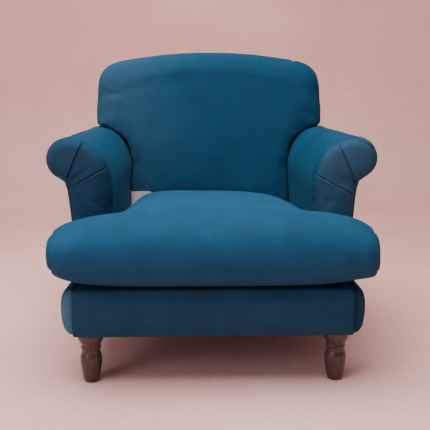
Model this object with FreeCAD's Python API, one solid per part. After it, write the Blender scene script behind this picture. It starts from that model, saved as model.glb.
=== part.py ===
"""Scroll-arm upholstered armchair with a loose T-shaped seat cushion.

Millimetres.  +Z is up, the front of the chair faces -Y, +X is the right arm as
seen from the front.  The origin is on the floor, under the middle of the
chair's overall width and depth.
"""
import FreeCAD, Part
import math
import os

V = FreeCAD.Vector

# ---------------------------------------------------------------- overall sizes
HALF_DEPTH = 470.0          # cushion nose to the rear of the back
BASE_Z = 132.0              # underside of the upholstered base
BASE_TOP_Z = 257.0          # top of the padded base border
COVER = 2.0                 # velvet with its backing
AIR = 0.3                   # clearance between neighbouring pieces

# ---------------------------------------------------------------- seat frame
RAIL_T = 25.0
RAIL_Z0, RAIL_Z1 = 134.0, 224.0
FRONT_RAIL_Y = -422.0       # front face of the front rail
SIDE_RAIL_X = 360.0         # outer face of a side rail
REAR_RAIL_Y = 375.0         # rear face of the rear rail
BLOCK_LEG, BLOCK_T = 95.0, 45.0

SIDE_BORDER_T, FRONT_BORDER_T = 35.0, 13.0
FRONT_BORDER_HALF_W, BORDER_END_R = 366.5, 16.0

# ---------------------------------------------------------------- back
REAR_SLOPE = 0.1184         # rake of the outer face of the back
OUTSIDE_BACK_TOP_Z = 852.0
REAR_GAP = 3.0              # padded back and arms stop this far inside the outer face
TURN_UNDER = 1.2            # the back cover's edge is trimmed this far ahead of its rear face
REAR_Y0 = HALF_DEPTH - REAR_SLOPE * (OUTSIDE_BACK_TOP_Z - BASE_Z)
UPRIGHT_X0, UPRIGHT_X1 = 293.0, 333.0
UPRIGHT_FRONT_Y = 322.0
UPRIGHT_KNEE_Z, UPRIGHT_TOP_Z = 250.0, 805.0
UPRIGHT_RAKE = 90.0 / (UPRIGHT_TOP_Z - UPRIGHT_KNEE_Z)
FRAME_SETBACK = 11.0        # frame behind the outer face of the back
BACK_BOTTOM_Z = 256.0
BACK_FRONT_Y, BACK_RAKE = 240.0, 0.2126  # inside face of the back: y at its foot, and rake
BACK_BULGE = 10.0
BACK_HALF_W = 387.0
# (x, height of the arched top, how far the front edge turns away)
BACK_STATIONS = [(0.0, 878.0, 0.0), (70.0, 876.5, 0.0), (142.0, 872.0, 0.0), (215.0, 863.0, 0.0),
                 (280.0, 853.5, 1.0), (324.0, 845.0, 3.0), (352.0, 834.0, 7.0), (370.0, 819.0, 14.0),
                 (381.0, 802.0, 24.0), (BACK_HALF_W, 781.0, 38.0)]
FLY_TOP_Z = 396.0           # velvet above, calico pull-through cloth below
WEBBING_W, WEBBING_T = 50.0, 1.6
WEBBING_Z = [330.0, 410.0, 490.0, 570.0, 650.0, 715.0]

# ---------------------------------------------------------------- arms
ARM_FRONT_Y = -315.0
ARM_BOTTOM_Z = 258.0
ARM_EDGE_R = 26.0
SLOT_X, SLOT_Y = 350.0, 318.0   # behind and inside of this the back frame takes the arm's place
ARM_OUTLINE = [(272.0, 258.0), (271.0, 340.0), (271.5, 430.0), (273.0, 500.0), (277.0, 540.0),
               (286.0, 572.0), (303.0, 599.0), (327.0, 619.0), (353.0, 631.0), (380.0, 635.0),
               (405.0, 629.0), (426.0, 614.0), (438.0, 592.0), (440.0, 572.0), (434.0, 550.0),
               (419.0, 534.0), (403.0, 523.0), (393.0, 507.0), (388.0, 480.0), (381.5, 420.0),
               (374.5, 335.0), (368.0, 258.0)]
ARM_CAVITY = [(300.0, 240.0), (300.0, 545.0), (332.0, 590.0), (402.0, 590.0), (402.0, 548.0),
              (384.0, 522.0), (430.0, 505.0), (430.0, 240.0)]
ARM_CAVITY_Y = -289.0

# ---------------------------------------------------------------- feet
FOOT_TOP_Z = 131.3
GLIDE_T, GLIDE_R = 3.0, 13.0
FRONT_FOOT = (323.0, -386.0)
REAR_FOOT = (318.5, 306.5)
REAR_FOOT_KICK = 38.5
# (radius, height) down the turned front foot
FOOT_PROFILE = [(34.0, FOOT_TOP_Z), (34.0, 123.0), (31.5, 114.0), (27.5, 107.0), (25.2, 103.0),
                (25.2, 99.0)]
FOOT_BEAD = [(25.8, 97.0), (26.2, 94.0), (25.6, 91.0), (24.2, 89.0), (23.8, 84.0), (24.6, 79.0)]
FOOT_BULB = [(27.2, 72.0), (28.5, 64.0), (28.2, 57.0), (26.4, 42.0), (24.2, 26.0), (21.4, 10.0),
             (18.8, GLIDE_T)]
BOLT_R, BOLT_HOLE_R = 4.0, 4.25

# ---------------------------------------------------------------- seat suspension
SPRING_X = [-220.0, -110.0, 0.0, 110.0, 220.0]
SPRING_WIRE_R, SPRING_Z = 1.8, 229.0
SPRING_HALF_W, SPRING_BEND_R = 14.0, 9.6
SPRING_Y0, SPRING_RUNS = -402.0, 41
TIE_Y = [-146.0, 108.0]
DECK_HALF_W = 358.5         # seat layers in front of the arms
DECK = [(-268.0, 236.0), (268.0, 236.0), (268.0, -318.0), (DECK_HALF_W, -318.0), (DECK_HALF_W, -376.0),
        (-DECK_HALF_W, -376.0), (-DECK_HALF_W, -318.0), (-268.0, -318.0)]

# ---------------------------------------------------------------- seat cushion
CUSHION_MID_Z = 345.0
JACKET_T = 28.0
# (y, half width, lowest z, highest z): the part between the arms, then the wide nose
CUSHION_BODY = [(236.0, 236.0, 292.0, 392.0), (229.0, 251.0, 274.0, 412.0), (205.0, 262.0, 262.0, 428.0),
                (140.0, 266.0, 258.0, 443.0), (30.0, 267.0, 257.0, 456.0), (-110.0, 267.0, 257.0, 468.0),
                (-250.0, 267.0, 258.0, 470.0), (-340.0, 264.0, 263.0, 458.0), (-385.0, 256.0, 272.0, 440.0)]
CUSHION_NOSE = [(-326.0, 403.0, 270.0, 456.0), (-332.0, 418.0, 260.0, 464.0), (-350.0, 426.0, 257.5, 466.0),
                (-385.0, 428.0, 257.5, 460.0), (-420.0, 424.0, 262.0, 446.0), (-446.0, 415.0, 270.0, 426.0),
                (-462.0, 401.0, 284.0, 402.0), (-HALF_DEPTH, 381.0, 306.0, 376.0)]
ZIP_Z, ZIP_HALF = 345.0, 232.0


# ================================================================ small helpers
def box(x0, y0, z0, x1, y1, z1):
    """Block between two opposite corners."""
    return Part.makeBox(x1 - x0, y1 - y0, z1 - z0, V(x0, y0, z0))


def rod(p, q, r):
    """Round bar from p to q."""
    a, b = V(*p), V(*q)
    return Part.makeCylinder(r, (b - a).Length, a, b - a)


def prism(points, shift):
    """Polygon through 3-D points, pushed along a vector."""
    pts = [V(*p) for p in points]
    return Part.Face(Part.makePolygon(pts + [pts[0]])).extrude(V(*shift))


def prism_x(yz, x0, x1):
    return prism([(x0, y, z) for y, z in yz], (x1 - x0, 0, 0))


def prism_y(xz, y0, y1):
    return prism([(x, y0, z) for x, z in xz], (0, y1 - y0, 0))


def prism_z(xy, z0, z1):
    return prism([(x, y, z0) for x, y in xy], (0, 0, z1 - z0))


def mirrored(shape):
    """The same piece on the other side of the chair."""
    return shape.mirror(V(0, 0, 0), V(1, 0, 0))


def both(shape):
    """A piece and its mirror image, as separate solids."""
    return [shape, mirrored(shape)]


def only_solid(shape):
    """The largest solid of a boolean result."""
    return max(shape.Solids, key=lambda s: s.Volume)


def rear_y(z):
    """Outer face of the raked back at height z."""
    return REAR_Y0 + REAR_SLOPE * (z - BASE_Z)


def frame_front_y(z):
    """Front face of the back frame at height z."""
    return UPRIGHT_FRONT_Y + UPRIGHT_RAKE * max(0.0, z - UPRIGHT_KNEE_Z)


def behind_rear(setback):
    """Everything behind the raked rear plane moved forward by setback."""
    low, high = 100.0, 900.0
    return prism_x([(rear_y(low) - setback, low), (rear_y(high) - setback, high), (700.0, high),
                    (700.0, low)], -600.0, 600.0)


def inset_points(points, inset):
    """Open outline moved inward; the inside lies to the right of its direction."""
    moved = []
    last = len(points) - 1
    for i, (a, b) in enumerate(points):
        pa, pb = points[max(i - 1, 0)], points[min(i + 1, last)]
        da, db = pb[0] - pa[0], pb[1] - pa[1]
        length = math.hypot(da, db)
        moved.append((a + inset * db / length, b - inset * da / length))
    return moved


def curve_wire(points):
    """Smooth curve through points, closed by a straight line."""
    pts = [V(*p) for p in points]
    curve = Part.BSplineCurve()
    curve.interpolate(pts)
    return Part.Wire([curve.toShape(), Part.makeLine(pts[-1], pts[0])])


def round_end(radius):
    """(depth, shrink) steps that turn a quarter circle of the given radius."""
    steps = []
    for t in (0.0, 0.04, 0.13, 0.28, 0.55, 1.0):
        steps.append((radius * t, radius * (1.0 - math.sqrt(1.0 - (1.0 - t) ** 2))))
    return steps


# ================================================================ arms
def arm_section(y, inset, bottom):
    """Section of the right arm across the chair at y."""
    pts = inset_points(ARM_OUTLINE, inset)
    pts[0] = (pts[0][0], bottom)
    pts[-1] = (pts[-1][0], bottom)
    return curve_wire([(x, y, z) for x, z in pts])


def arm_solid(inset, bottom):
    """Right arm, all its outer faces moved inward by inset."""
    front = ARM_FRONT_Y + inset
    wires = [arm_section(front + depth, inset + shrink, bottom)
             for depth, shrink in round_end(ARM_EDGE_R - inset)]
    wires.append(arm_section(500.0, inset, bottom))
    solid = Part.makeLoft(wires, True, True)
    return only_solid(solid.cut(behind_rear(REAR_GAP + inset)))


def back_frame_slot(gap):
    """Space at the rear of the right arm taken by the back frame."""
    return box(200.0, SLOT_Y - gap, 100.0, SLOT_X + gap, 600.0, 900.0)


def outside_arm_region(grow):
    """Space of the outside-arm panel: below the roll and behind the front edge."""
    return prism_y([(345.0 - grow, 200.0), (345.0 - grow, 500.0), (382.0, 517.0 + grow),
                    (440.0, 505.0 + grow), (440.0, 200.0)], -297.0 - grow, 600.0)


def arm_pieces():
    """Right arm: padding, inside cover with the front, outside cover."""
    shell = arm_solid(0.0, ARM_BOTTOM_Z).cut(arm_solid(COVER, 200.0))
    shell = shell.cut(back_frame_slot(0.0))
    padding = arm_solid(COVER + AIR, ARM_BOTTOM_Z + 1.0)
    padding = padding.cut(prism_y(ARM_CAVITY, ARM_CAVITY_Y, 600.0)).cut(back_frame_slot(0.0))
    return {
        "arm_padding": only_solid(padding),
        "inside_arm_cover": only_solid(shell.cut(outside_arm_region(AIR))),
        "outside_arm_cover": only_solid(shell.common(outside_arm_region(0.0))),
    }


# ================================================================ back
def back_section(x, top, turn, inset, bottom):
    """Section of the padded back from front to rear at x, standing on z = bottom."""
    def front(z):
        swell = math.sin(math.pi * min(1.0, max(0.0, (z - 300.0) / 520.0)))
        puff = BACK_BULGE * swell * (1.0 - (x / BACK_HALF_W) ** 2)
        return BACK_FRONT_Y + BACK_RAKE * (z - BACK_BOTTOM_Z) - puff + turn

    def rear(z):
        return rear_y(z) - REAR_GAP

    crest = 0.5 * (front(top - 60.0) + rear(top - 60.0)) + 6.0
    shoulder = rear(top - 46.0)
    straight = [top - 120.0 - k * (top - 120.0 - BACK_BOTTOM_Z) / 5.0 for k in range(5)]
    pts = [(front(bottom), bottom), (front(330.0), 330.0), (front(430.0), 430.0),
           (front(530.0), 530.0), (front(630.0), 630.0), (front(top - 130.0), top - 130.0),
           (front(top - 70.0) + 2.0, top - 70.0), (front(top - 40.0) + 9.0, top - 34.0),
           (crest - 26.0, top - 7.0), (crest, top), (crest + 26.0, top - 6.0),
           (shoulder - 7.0, top - 22.0), (shoulder, top - 46.0), (rear(top - 82.0), top - 82.0)]
    pts += [(rear(z), z) for z in straight] + [(rear(bottom), bottom)]
    pts = inset_points(pts, inset)
    pts[0] = (pts[0][0], bottom)
    pts[-1] = (pts[-1][0], bottom)
    return pts


def back_solid(inset, bottom_drop):
    """The whole padded back, faces moved inward by inset, foot lowered by bottom_drop."""
    scale = (BACK_HALF_W - inset) / BACK_HALF_W
    stations = [(-x, t, d) for x, t, d in reversed(BACK_STATIONS[1:])] + BACK_STATIONS
    wires = []
    for x, top, turn in stations:
        pts = back_section(x, top, turn, inset, BACK_BOTTOM_Z - bottom_drop)
        wires.append(curve_wire([(x * scale, y, z) for y, z in pts]))
    return Part.makeLoft(wires, True, False)


def raked_slab(front_gap, rear_gap, half_w, z0, z1):
    """Slab following the back frame: gaps are measured forward of its front and rear faces."""
    knee = UPRIGHT_KNEE_Z
    pts = [(frame_front_y(z0) - front_gap, z0)]
    if z0 < knee < z1:
        pts.append((frame_front_y(knee) - front_gap, knee))
    pts += [(frame_front_y(z1) - front_gap, z1), (rear_y(z1) - rear_gap, z1),
            (rear_y(z0) - rear_gap, z0)]
    return prism_x(pts, -half_w, half_w)


def front_sheet(near, far, half_w, z0, z1):
    """Thin sheet lying between two distances ahead of the back frame's front face."""
    return prism_x([(frame_front_y(z0) - far, z0), (frame_front_y(z1) - far, z1),
                    (frame_front_y(z1) - near, z1), (frame_front_y(z0) - near, z0)], -half_w, half_w)


def rear_sheet(outline, near, far):
    """Flat sheet in the raked rear plane; outline holds (x, z) pairs."""
    pts = [(x, rear_y(z) - near, z) for x, z in outline]
    return prism(pts, (0, near - far, 0))


def arch_points(half_w, low, edge, crown, count):
    """Closed (x, z) outline with a flat foot and a gently arched top."""
    pts = [(-half_w, low)]
    for i in range(count + 1):
        x = -half_w + 2.0 * half_w * i / count
        pts.append((x, edge + (crown - edge) * (1.0 - (x / half_w) ** 2)))
    return pts + [(half_w, low)]


def back_upright():
    """Right back upright, from the seat frame to the top rail."""
    side = [(UPRIGHT_FRONT_Y, RAIL_Z0), (UPRIGHT_FRONT_Y, UPRIGHT_KNEE_Z),
            (frame_front_y(UPRIGHT_TOP_Z), UPRIGHT_TOP_Z),
            (rear_y(UPRIGHT_TOP_Z) - FRAME_SETBACK, UPRIGHT_TOP_Z), (REAR_RAIL_Y, RAIL_Z0)]
    return prism_x(side, UPRIGHT_X0, UPRIGHT_X1)


def back_top_rail(grow):
    """Arched top rail between the uprights."""
    half = UPRIGHT_X0 - 0.2 + grow
    arch = arch_points(half, 738.0 - grow, 806.0 + grow, 834.0 + grow, 24)
    slab = raked_slab(grow, FRAME_SETBACK - grow, half + 1.0, 700.0, 860.0)
    return prism_y(arch, 300.0, 560.0).common(slab)


def arm_lower_rail(grow):
    """Tacking rail low in the right arm, from the front post to the raked upright."""
    z0, z1 = 262.0, 302.0
    pts = [(-227.7, z0 - grow), (frame_front_y(z0) - AIR + grow, z0 - grow),
           (frame_front_y(z1) - AIR + grow, z1 + grow), (-227.7, z1 + grow)]
    return prism_x(pts, 302.0 - grow, UPRIGHT_X1 + grow)


def back_pieces(arm_outer):
    """Padding and covers of the back, cut to sit over and between the arms."""
    arms = Part.makeCompound(both(arm_outer))
    shell = back_solid(0.0, 0.0).cut(back_solid(COVER, 60.0))
    shell = shell.cut(behind_rear(REAR_GAP + COVER + TURN_UNDER))
    shell = shell.cut(arms)
    low = box(-600.0, 0.0, 0.0, 600.0, 600.0, FLY_TOP_Z)
    under = box(-600.0, 0.0, 0.0, 600.0, 700.0, BACK_BOTTOM_Z + 1.0)
    padding = back_solid(COVER + AIR, 60.0).cut(under).cut(arms)
    frame_space = raked_slab(6.0, -60.0, UPRIGHT_X1 + 3.0, 200.0, UPRIGHT_TOP_Z + 1.5)
    padding = padding.cut(frame_space).cut(back_top_rail(1.5))
    padding = padding.cut(behind_rear(10.0).common(box(-346.0, 0, 0, 346.0, 700.0, 812.0)))
    padding = padding.cut(behind_rear(REAR_GAP + COVER)).cut(Part.makeCompound(both(arm_lower_rail(0.5))))
    gap = box(-600.0, 0.0, 0.0, 600.0, 600.0, FLY_TOP_Z + AIR)
    return {
        "inside_back_padding": only_solid(padding),
        "inside_back_cover": only_solid(shell.cut(gap)),
        "inside_back_fly": only_solid(shell.common(low)),
    }


def outside_back_outline(inset):
    """(x, z) outline of the flat outside-back panel."""
    top = []
    for x, height, _ in BACK_STATIONS[:-1]:
        top.append((x * (1.0 - inset / BACK_HALF_W), height - 26.0 - inset))
    right = top + [(BACK_HALF_W - 1.0 - inset, 730.0)]
    left = [(-x, z) for x, z in reversed(right)]
    foot = BASE_Z + 1.0 + 0.5 * inset
    return left[:-1] + right + [(BACK_HALF_W - 13.0 - inset, foot), (-BACK_HALF_W + 13.0 + inset, foot)]


# ================================================================ padded base border
def border_section(y, inset, depth, back_x):
    """Section of a padded border that stands on the plane x = back_x."""
    height = BASE_TOP_Z - BASE_Z
    shape = [(0.0, 1.0), (0.5, 0.985), (0.88, 0.86), (1.0, 0.64), (0.97, 0.38), (0.80, 0.15),
             (0.42, 0.02), (0.0, 0.0)]
    pts = inset_points([(depth * a, BASE_Z + height * b) for a, b in shape], inset)
    pts[0] = (back_x, BASE_TOP_Z - inset)
    pts[-1] = (back_x, BASE_Z + inset)
    return curve_wire([(x, y, z) for x, z in pts])


def side_border_solid(inset, back_x):
    """Right side border, running from the front corner to the rear plane."""
    front = FRONT_RAIL_Y - 0.5 + inset
    wires = []
    for depth, shrink in round_end(BORDER_END_R - inset):
        wires.append(border_section(front + depth, inset + shrink, SIDE_BORDER_T, back_x))
    wires.append(border_section(420.0, inset, SIDE_BORDER_T, back_x))
    solid = Part.makeLoft(wires, True, True)
    solid.translate(V(SIDE_RAIL_X + 1.0, 0, 0))
    return only_solid(solid.cut(behind_rear(REAR_GAP + inset)))


def front_border_solid(inset, back_x, end_gap):
    """Front border: the same section laid square across the chair."""
    half = FRONT_BORDER_HALF_W - end_gap
    wires = [border_section(x, inset, FRONT_BORDER_T, back_x) for x in (-half, half)]
    solid = Part.makeLoft(wires, True, True)
    solid.rotate(V(0, 0, 0), V(0, 0, 1), -90.0)
    solid.translate(V(0, FRONT_RAIL_Y - 1.0, 0))
    return solid


def border_pieces():
    """Padding and cover of the front and right side borders."""
    side_trim = box(0, -700, 0, SIDE_RAIL_X + 1.0, 700, 400)
    front_trim = box(-700, FRONT_RAIL_Y - 1.0, 0, 700, 700, 400)
    side_cover = side_border_solid(0.0, 0.0).cut(side_border_solid(COVER, -20.0)).cut(side_trim)
    front_cover = front_border_solid(0.0, 0.0, 0.0)
    front_cover = front_cover.cut(front_border_solid(COVER, -20.0, COVER)).cut(front_trim)
    gap = COVER + AIR
    side_padding = side_border_solid(gap, -20.0).cut(side_trim)
    front_padding = front_border_solid(gap, -20.0, gap).cut(front_trim)
    return {
        "side_border_padding": only_solid(side_padding),
        "side_border_cover": only_solid(side_cover),
        "front_border_padding": only_solid(front_padding),
        "front_border_cover": only_solid(front_cover),
    }


# ================================================================ seat cushion
def cushion_section(y, half_w, low, high, inset):
    """Pillow section: full at the sides, flatter below than above."""
    half_w, low, high = half_w - inset, low + inset, high - inset
    pts = []
    for i in range(28):
        a = 2.0 * math.pi * i / 28
        c, s = math.cos(a), math.sin(a)
        reach = high - CUSHION_MID_Z if s > 0 else CUSHION_MID_Z - low
        power = 3.4 if s > 0 else 4.6
        x = half_w * math.copysign(abs(c) ** (2.0 / power), c)
        z = CUSHION_MID_Z + reach * math.copysign(abs(s) ** (2.0 / power), s)
        pts.append(V(x, y, z))
    curve = Part.BSplineCurve()
    curve.interpolate(pts, True)
    return Part.Wire([curve.toShape()])


def cushion_part(stations, inset):
    """One lofted part of the cushion with its ends drawn in by inset."""
    first, last = stations[0][0], stations[-1][0]
    scale = 1.0 - 2.0 * inset / abs(last - first)
    middle = 0.5 * (first + last)
    wires = []
    for y, half_w, low, high in stations:
        wires.append(cushion_section(middle + (y - middle) * scale, half_w, low, high, inset))
    return Part.makeLoft(wires, True, False)


def cushion_solid(inset):
    """T-shaped feather cushion: the part between the arms and the wide nose."""
    body = cushion_part(CUSHION_BODY, inset)
    nose = cushion_part(CUSHION_NOSE, inset)
    return only_solid(body.fuse(nose))


def cushion_pieces():
    """Velvet cover, two halves of the feather jacket, and the foam core."""
    filled = cushion_solid(COVER + AIR)
    jacket = filled.cut(cushion_solid(JACKET_T))
    upper = box(-500, -600, CUSHION_MID_Z + AIR, 500, 400, 600)
    lower = box(-500, -600, 200, 500, 400, CUSHION_MID_Z)
    return {
        "cushion_cover": only_solid(cushion_solid(0.0).cut(cushion_solid(COVER))),
        "cushion_feather_jacket": [only_solid(jacket.common(half)) for half in (upper, lower)],
        "cushion_foam_core": cushion_solid(JACKET_T + 2.0 * AIR),
    }


def zip_pieces():
    """Zip along the rear border of the cushion cover, with its slider and pull."""
    y0 = CUSHION_BODY[0][0] + 2.0 * AIR
    tape = box(-ZIP_HALF, y0, ZIP_Z - 12.0, ZIP_HALF, y0 + 1.0, ZIP_Z + 12.0)
    coil = rod((-ZIP_HALF + 6.0, y0 + 2.6, ZIP_Z), (ZIP_HALF - 6.0, y0 + 2.6, ZIP_Z), 1.3)
    x0, x1 = -ZIP_HALF + 8.0, -ZIP_HALF + 19.0
    slider = box(x0, y0 + 1.3, ZIP_Z - 4.0, x1, y0 + 5.6, ZIP_Z + 4.0)
    slider = slider.cut(box(x0 - 1, y0 + 0.5, ZIP_Z - 2.2, x1 + 1, y0 + 4.3, ZIP_Z + 2.2))
    xm = 0.5 * (x0 + x1)
    eye = rod((xm - 3.5, y0 + 7.6, ZIP_Z + 1.0), (xm + 3.5, y0 + 7.6, ZIP_Z + 1.0), 0.8)
    posts = [box(xm + s - 0.8, y0 + 5.4, ZIP_Z + 0.2, xm + s + 0.8, y0 + 8.4, ZIP_Z + 1.8)
             for s in (-4.0, 4.0)]
    slider = slider.fuse(posts[0]).fuse(posts[1]).fuse(eye)
    tab = box(xm - 2.6, y0 + 6.6, ZIP_Z - 20.0, xm + 2.6, y0 + 8.6, ZIP_Z + 3.0)
    tab = tab.cut(rod((xm - 5, y0 + 7.6, ZIP_Z + 1.0), (xm + 5, y0 + 7.6, ZIP_Z + 1.0), 0.85))
    tab = tab.cut(rod((xm, y0, ZIP_Z - 16.0), (xm, y0 + 12, ZIP_Z - 16.0), 1.2))
    return {"cushion_zip": [tape, coil], "zip_slider": slider, "zip_pull": tab}


# ================================================================ timber frame
def bolt_axes():
    """Frame bolts on the right side: (y, z), one pair for the arm post, one for the upright."""
    return [(-250.0, 158.0), (-250.0, 200.0), (337.5, 158.0), (337.5, 200.0)]


def frame_bolt(y, z):
    """Coach bolt through a post and the side rail, head inside."""
    inner = 302.0 if y < 0 else UPRIGHT_X0
    head = rod((inner - 5.2, y, z), (inner - 0.2, y, z), 9.0)
    shank = rod((inner - 1.0, y, z), (SIDE_RAIL_X - 1.0, y, z), BOLT_R)
    return head.fuse(shank)


def block_corner(rear):
    """Inside corner (x, y) of the seat frame that a right corner block fills."""
    x = SIDE_RAIL_X - RAIL_T - 1.5
    return (x, UPRIGHT_FRONT_Y - 0.5) if rear else (x, FRONT_RAIL_Y + RAIL_T + 0.5)


def block_screws(rear):
    """Two screws from a corner block into the pieces beside it: (start, end)."""
    x, y = block_corner(rear)
    turn = -1.0 if rear else 1.0
    cross_x = x - 33.5 if rear else x - 60.0
    z = RAIL_Z0 + 0.5 * BLOCK_T
    return [((cross_x, y + turn * 20.0, z - 9.0), (cross_x, y - turn * 18.0, z - 9.0)),
            ((x - 20.0, y + turn * 60.0, z + 9.0), (x + 20.0, y + turn * 60.0, z + 9.0))]


def screw(p, q):
    """Countersunk wood screw."""
    a, b = V(*p), V(*q)
    way = (b - a).normalize()
    head = Part.makeCone(4.2, 2.0, 3.4, a, way)
    return head.fuse(Part.makeCylinder(2.0, (b - a).Length, a, way))


def foot_places():
    """Right feet: (x, y) of the hanger bolt."""
    return [FRONT_FOOT, REAR_FOOT]


def right_bores():
    """Drillings for every fastener on the right side of the frame."""
    bores = []
    for y, z in bolt_axes():
        bores.append(rod((280.0, y, z), (SIDE_RAIL_X + 1.0, y, z), BOLT_HOLE_R))
    for rear in (False, True):
        for p, q in block_screws(rear):
            way = (V(*q) - V(*p)).normalize()
            bores.append(Part.makeCylinder(4.5, 62.0 + 4.0, V(*p) - way * 62.0, way))
            bores.append(Part.makeCylinder(2.2, 40.5, V(*p), way))
    for x, y in foot_places():
        bores.append(rod((x, y, 80.0), (x, y, 200.0), BOLT_HOLE_R))
        bores.append(rod((x, y, RAIL_Z0 + BLOCK_T - 12.2), (x, y, RAIL_Z0 + BLOCK_T + 1), 6.2))
    return bores


def corner_block(rear):
    x, y = block_corner(rear)
    turn = -1.0 if rear else 1.0
    plan = [(x, y), (x, y + turn * BLOCK_LEG), (x - 14.0, y + turn * BLOCK_LEG),
            (x - BLOCK_LEG, y + turn * 14.0), (x - BLOCK_LEG, y)]
    return prism_z(plan, RAIL_Z0, RAIL_Z0 + BLOCK_T)


def timber_pieces():
    """All timber of the right half, and the cross rails, before drilling."""
    inner_x = SIDE_RAIL_X - RAIL_T
    clear = 0.2
    rear_front = REAR_RAIL_Y - RAIL_T
    arm_face = [(301.0, 226.0), (301.0, 544.5), (332.5, 589.0), (401.0, 589.0), (401.0, 548.5),
                (381.0, 520.0), (378.0, 480.0), (371.0, 420.0), (362.0, 330.0), (358.0, 226.0)]
    post_top = 540.0
    return {
        "front_seat_rail": box(-SIDE_RAIL_X, FRONT_RAIL_Y, RAIL_Z0, SIDE_RAIL_X,
                               FRONT_RAIL_Y + RAIL_T, RAIL_Z1),
        "rear_seat_rail": box(-UPRIGHT_X0 + clear, rear_front, RAIL_Z0, UPRIGHT_X0 - clear,
                              REAR_RAIL_Y, RAIL_Z1),
        "side_rail": box(inner_x, FRONT_RAIL_Y + RAIL_T + clear, RAIL_Z0, SIDE_RAIL_X,
                         REAR_RAIL_Y, RAIL_Z1),
        "arm_front_post": box(302.0, -273.0, RAIL_Z0 + 1, inner_x - 1.0, -228.0, post_top),
        "arm_scroll_facing": prism_y(arm_face, ARM_CAVITY_Y + 0.5, -273.3),
        "arm_top_rail": box(351.0, -273.0, 546.0, 400.0, 424.0, 588.0),
        "back_upright": back_upright(),
        "back_top_rail": back_top_rail(0.0),
        "back_lower_rail": raked_slab(0.0, FRAME_SETBACK + 20.0, UPRIGHT_X0 - clear, 262.0, 312.0),
    }


# ================================================================ springs, webbing and seat layers
def seat_spring(x):
    """Sinuous wire spring from the front rail to the rear rail."""
    r, w = SPRING_BEND_R, SPRING_HALF_W
    edges = []
    for i in range(SPRING_RUNS):
        y = SPRING_Y0 + 2.0 * r * i
        side = 1.0 if i % 2 == 0 else -1.0
        start, end = V(x - side * w, y, SPRING_Z), V(x + side * w, y, SPRING_Z)
        edges.append(Part.makeLine(start, end))
        if i < SPRING_RUNS - 1:
            mid, far = end + V(side * r, r, 0), end + V(0, 2.0 * r, 0)
            edges.append(Part.Arc(end, mid, far).toShape())
    circle = Part.Circle(edges[0].firstVertex().Point, V(1, 0, 0), SPRING_WIRE_R)
    return Part.Wire(edges).makePipeShell([Part.Wire([circle.toShape()])], True, False)


def spring_clip(x, rail_y, way):
    """Bent steel clip that hooks a spring end to a rail; way points along Y into the seat."""
    t, top = 1.2, SPRING_Z + 4.2
    base = RAIL_Z1 + 0.1
    side = [(10.0, base), (-5.0, base), (-5.0, top), (4.0, top), (4.0, top - t), (-5.0 + t, top - t),
            (-5.0 + t, base + t), (10.0, base + t)]
    pts = [(rail_y - way * a, z) for a, z in side]
    return prism_x(pts, x - 7.0, x + 7.0)


def front_edge_roll():
    """Rounded foam roll on top of the front rail."""
    roll = box(-DECK_HALF_W, FRONT_RAIL_Y, 225.0, DECK_HALF_W, -376.5, 252.8)
    edges = [e for e in roll.Edges
             if abs(e.BoundBox.ZMax - e.BoundBox.ZMin) < 1e-6 and e.BoundBox.ZMin > 250.0]
    roll = roll.makeFillet(9.0, [e for e in edges if e.BoundBox.YMin < -400.0 and e.Length > 300.0])
    holes = Part.makeCompound([box(x - 26.0, -440.0, 220.0, x + 26.0, -370.0, 236.0) for x in SPRING_X])
    return roll.cut(holes)


def dust_cloth():
    """Thin cloth under the seat frame, pierced for the feet's bolts."""
    cloth = box(-355.0, FRONT_RAIL_Y + 3.0, 131.6, 355.0, 374.0, 133.2)
    for x, y in foot_places():
        cloth = cloth.cut(Part.makeCompound(both(rod((x, y, 120), (x, y, 140), BOLT_HOLE_R + 1.0))))
    return cloth


def staples():
    """Staples that hold the dust cloth to the rails."""
    found = []
    y_front, y_rear = FRONT_RAIL_Y + 12.0, REAR_RAIL_Y - 12.0
    for i in range(9):
        x = -280.0 + 70.0 * i
        for y in (y_front, y_rear):
            found.append(box(x - 5.0, y - 0.5, 130.9, x + 5.0, y + 0.5, 131.5))
    for i in range(8):
        y = -310.0 + 78.0 * i
        for x in (-347.0, 347.0):
            found.append(box(x - 0.5, y - 5.0, 130.9, x + 0.5, y + 5.0, 131.5))
    return found


# ================================================================ feet
def turned_foot():
    """Turned front foot: flared collar, neck, bead, groove and tapering bulb."""
    pts = [(0.0, FOOT_TOP_Z)] + FOOT_PROFILE[:2]
    edges = [Part.makeLine(V(a[0], 0, a[1]), V(b[0], 0, b[1])) for a, b in zip(pts, pts[1:])]
    pieces = [FOOT_PROFILE[1:], [FOOT_PROFILE[-1]] + FOOT_BEAD, [FOOT_BEAD[-1]] + FOOT_BULB]
    for piece in pieces:
        curve = Part.BSplineCurve()
        curve.interpolate([V(r, 0, z) for r, z in piece])
        edges.append(curve.toShape())
    end = FOOT_BULB[-1]
    edges.append(Part.makeLine(V(end[0], 0, end[1]), V(0, 0, end[1])))
    edges.append(Part.makeLine(V(0, 0, end[1]), V(0, 0, FOOT_TOP_Z)))
    foot = Part.Face(Part.Wire(edges)).revolve(V(0, 0, 0), V(0, 0, 1), 360)
    foot = foot.cut(rod((0, 0, 84.0), (0, 0, 140.0), BOLT_HOLE_R))
    foot.translate(V(FRONT_FOOT[0], FRONT_FOOT[1], 0))
    return foot


def rear_foot():
    """Plain tapered rear foot, raked backwards."""
    def ring(half, y, z):
        x = REAR_FOOT[0]
        pts = [V(x - half, y - half, z), V(x + half, y - half, z), V(x + half, y + half, z),
               V(x - half, y + half, z)]
        return Part.makePolygon(pts + [pts[0]])
    x, y = REAR_FOOT
    foot = Part.makeLoft([ring(21.0, y, FOOT_TOP_Z), ring(15.0, y + REAR_FOOT_KICK, GLIDE_T)], True, True)
    return foot.cut(rod((x, y, 90.0), (x, y, 140.0), BOLT_HOLE_R))


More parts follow.
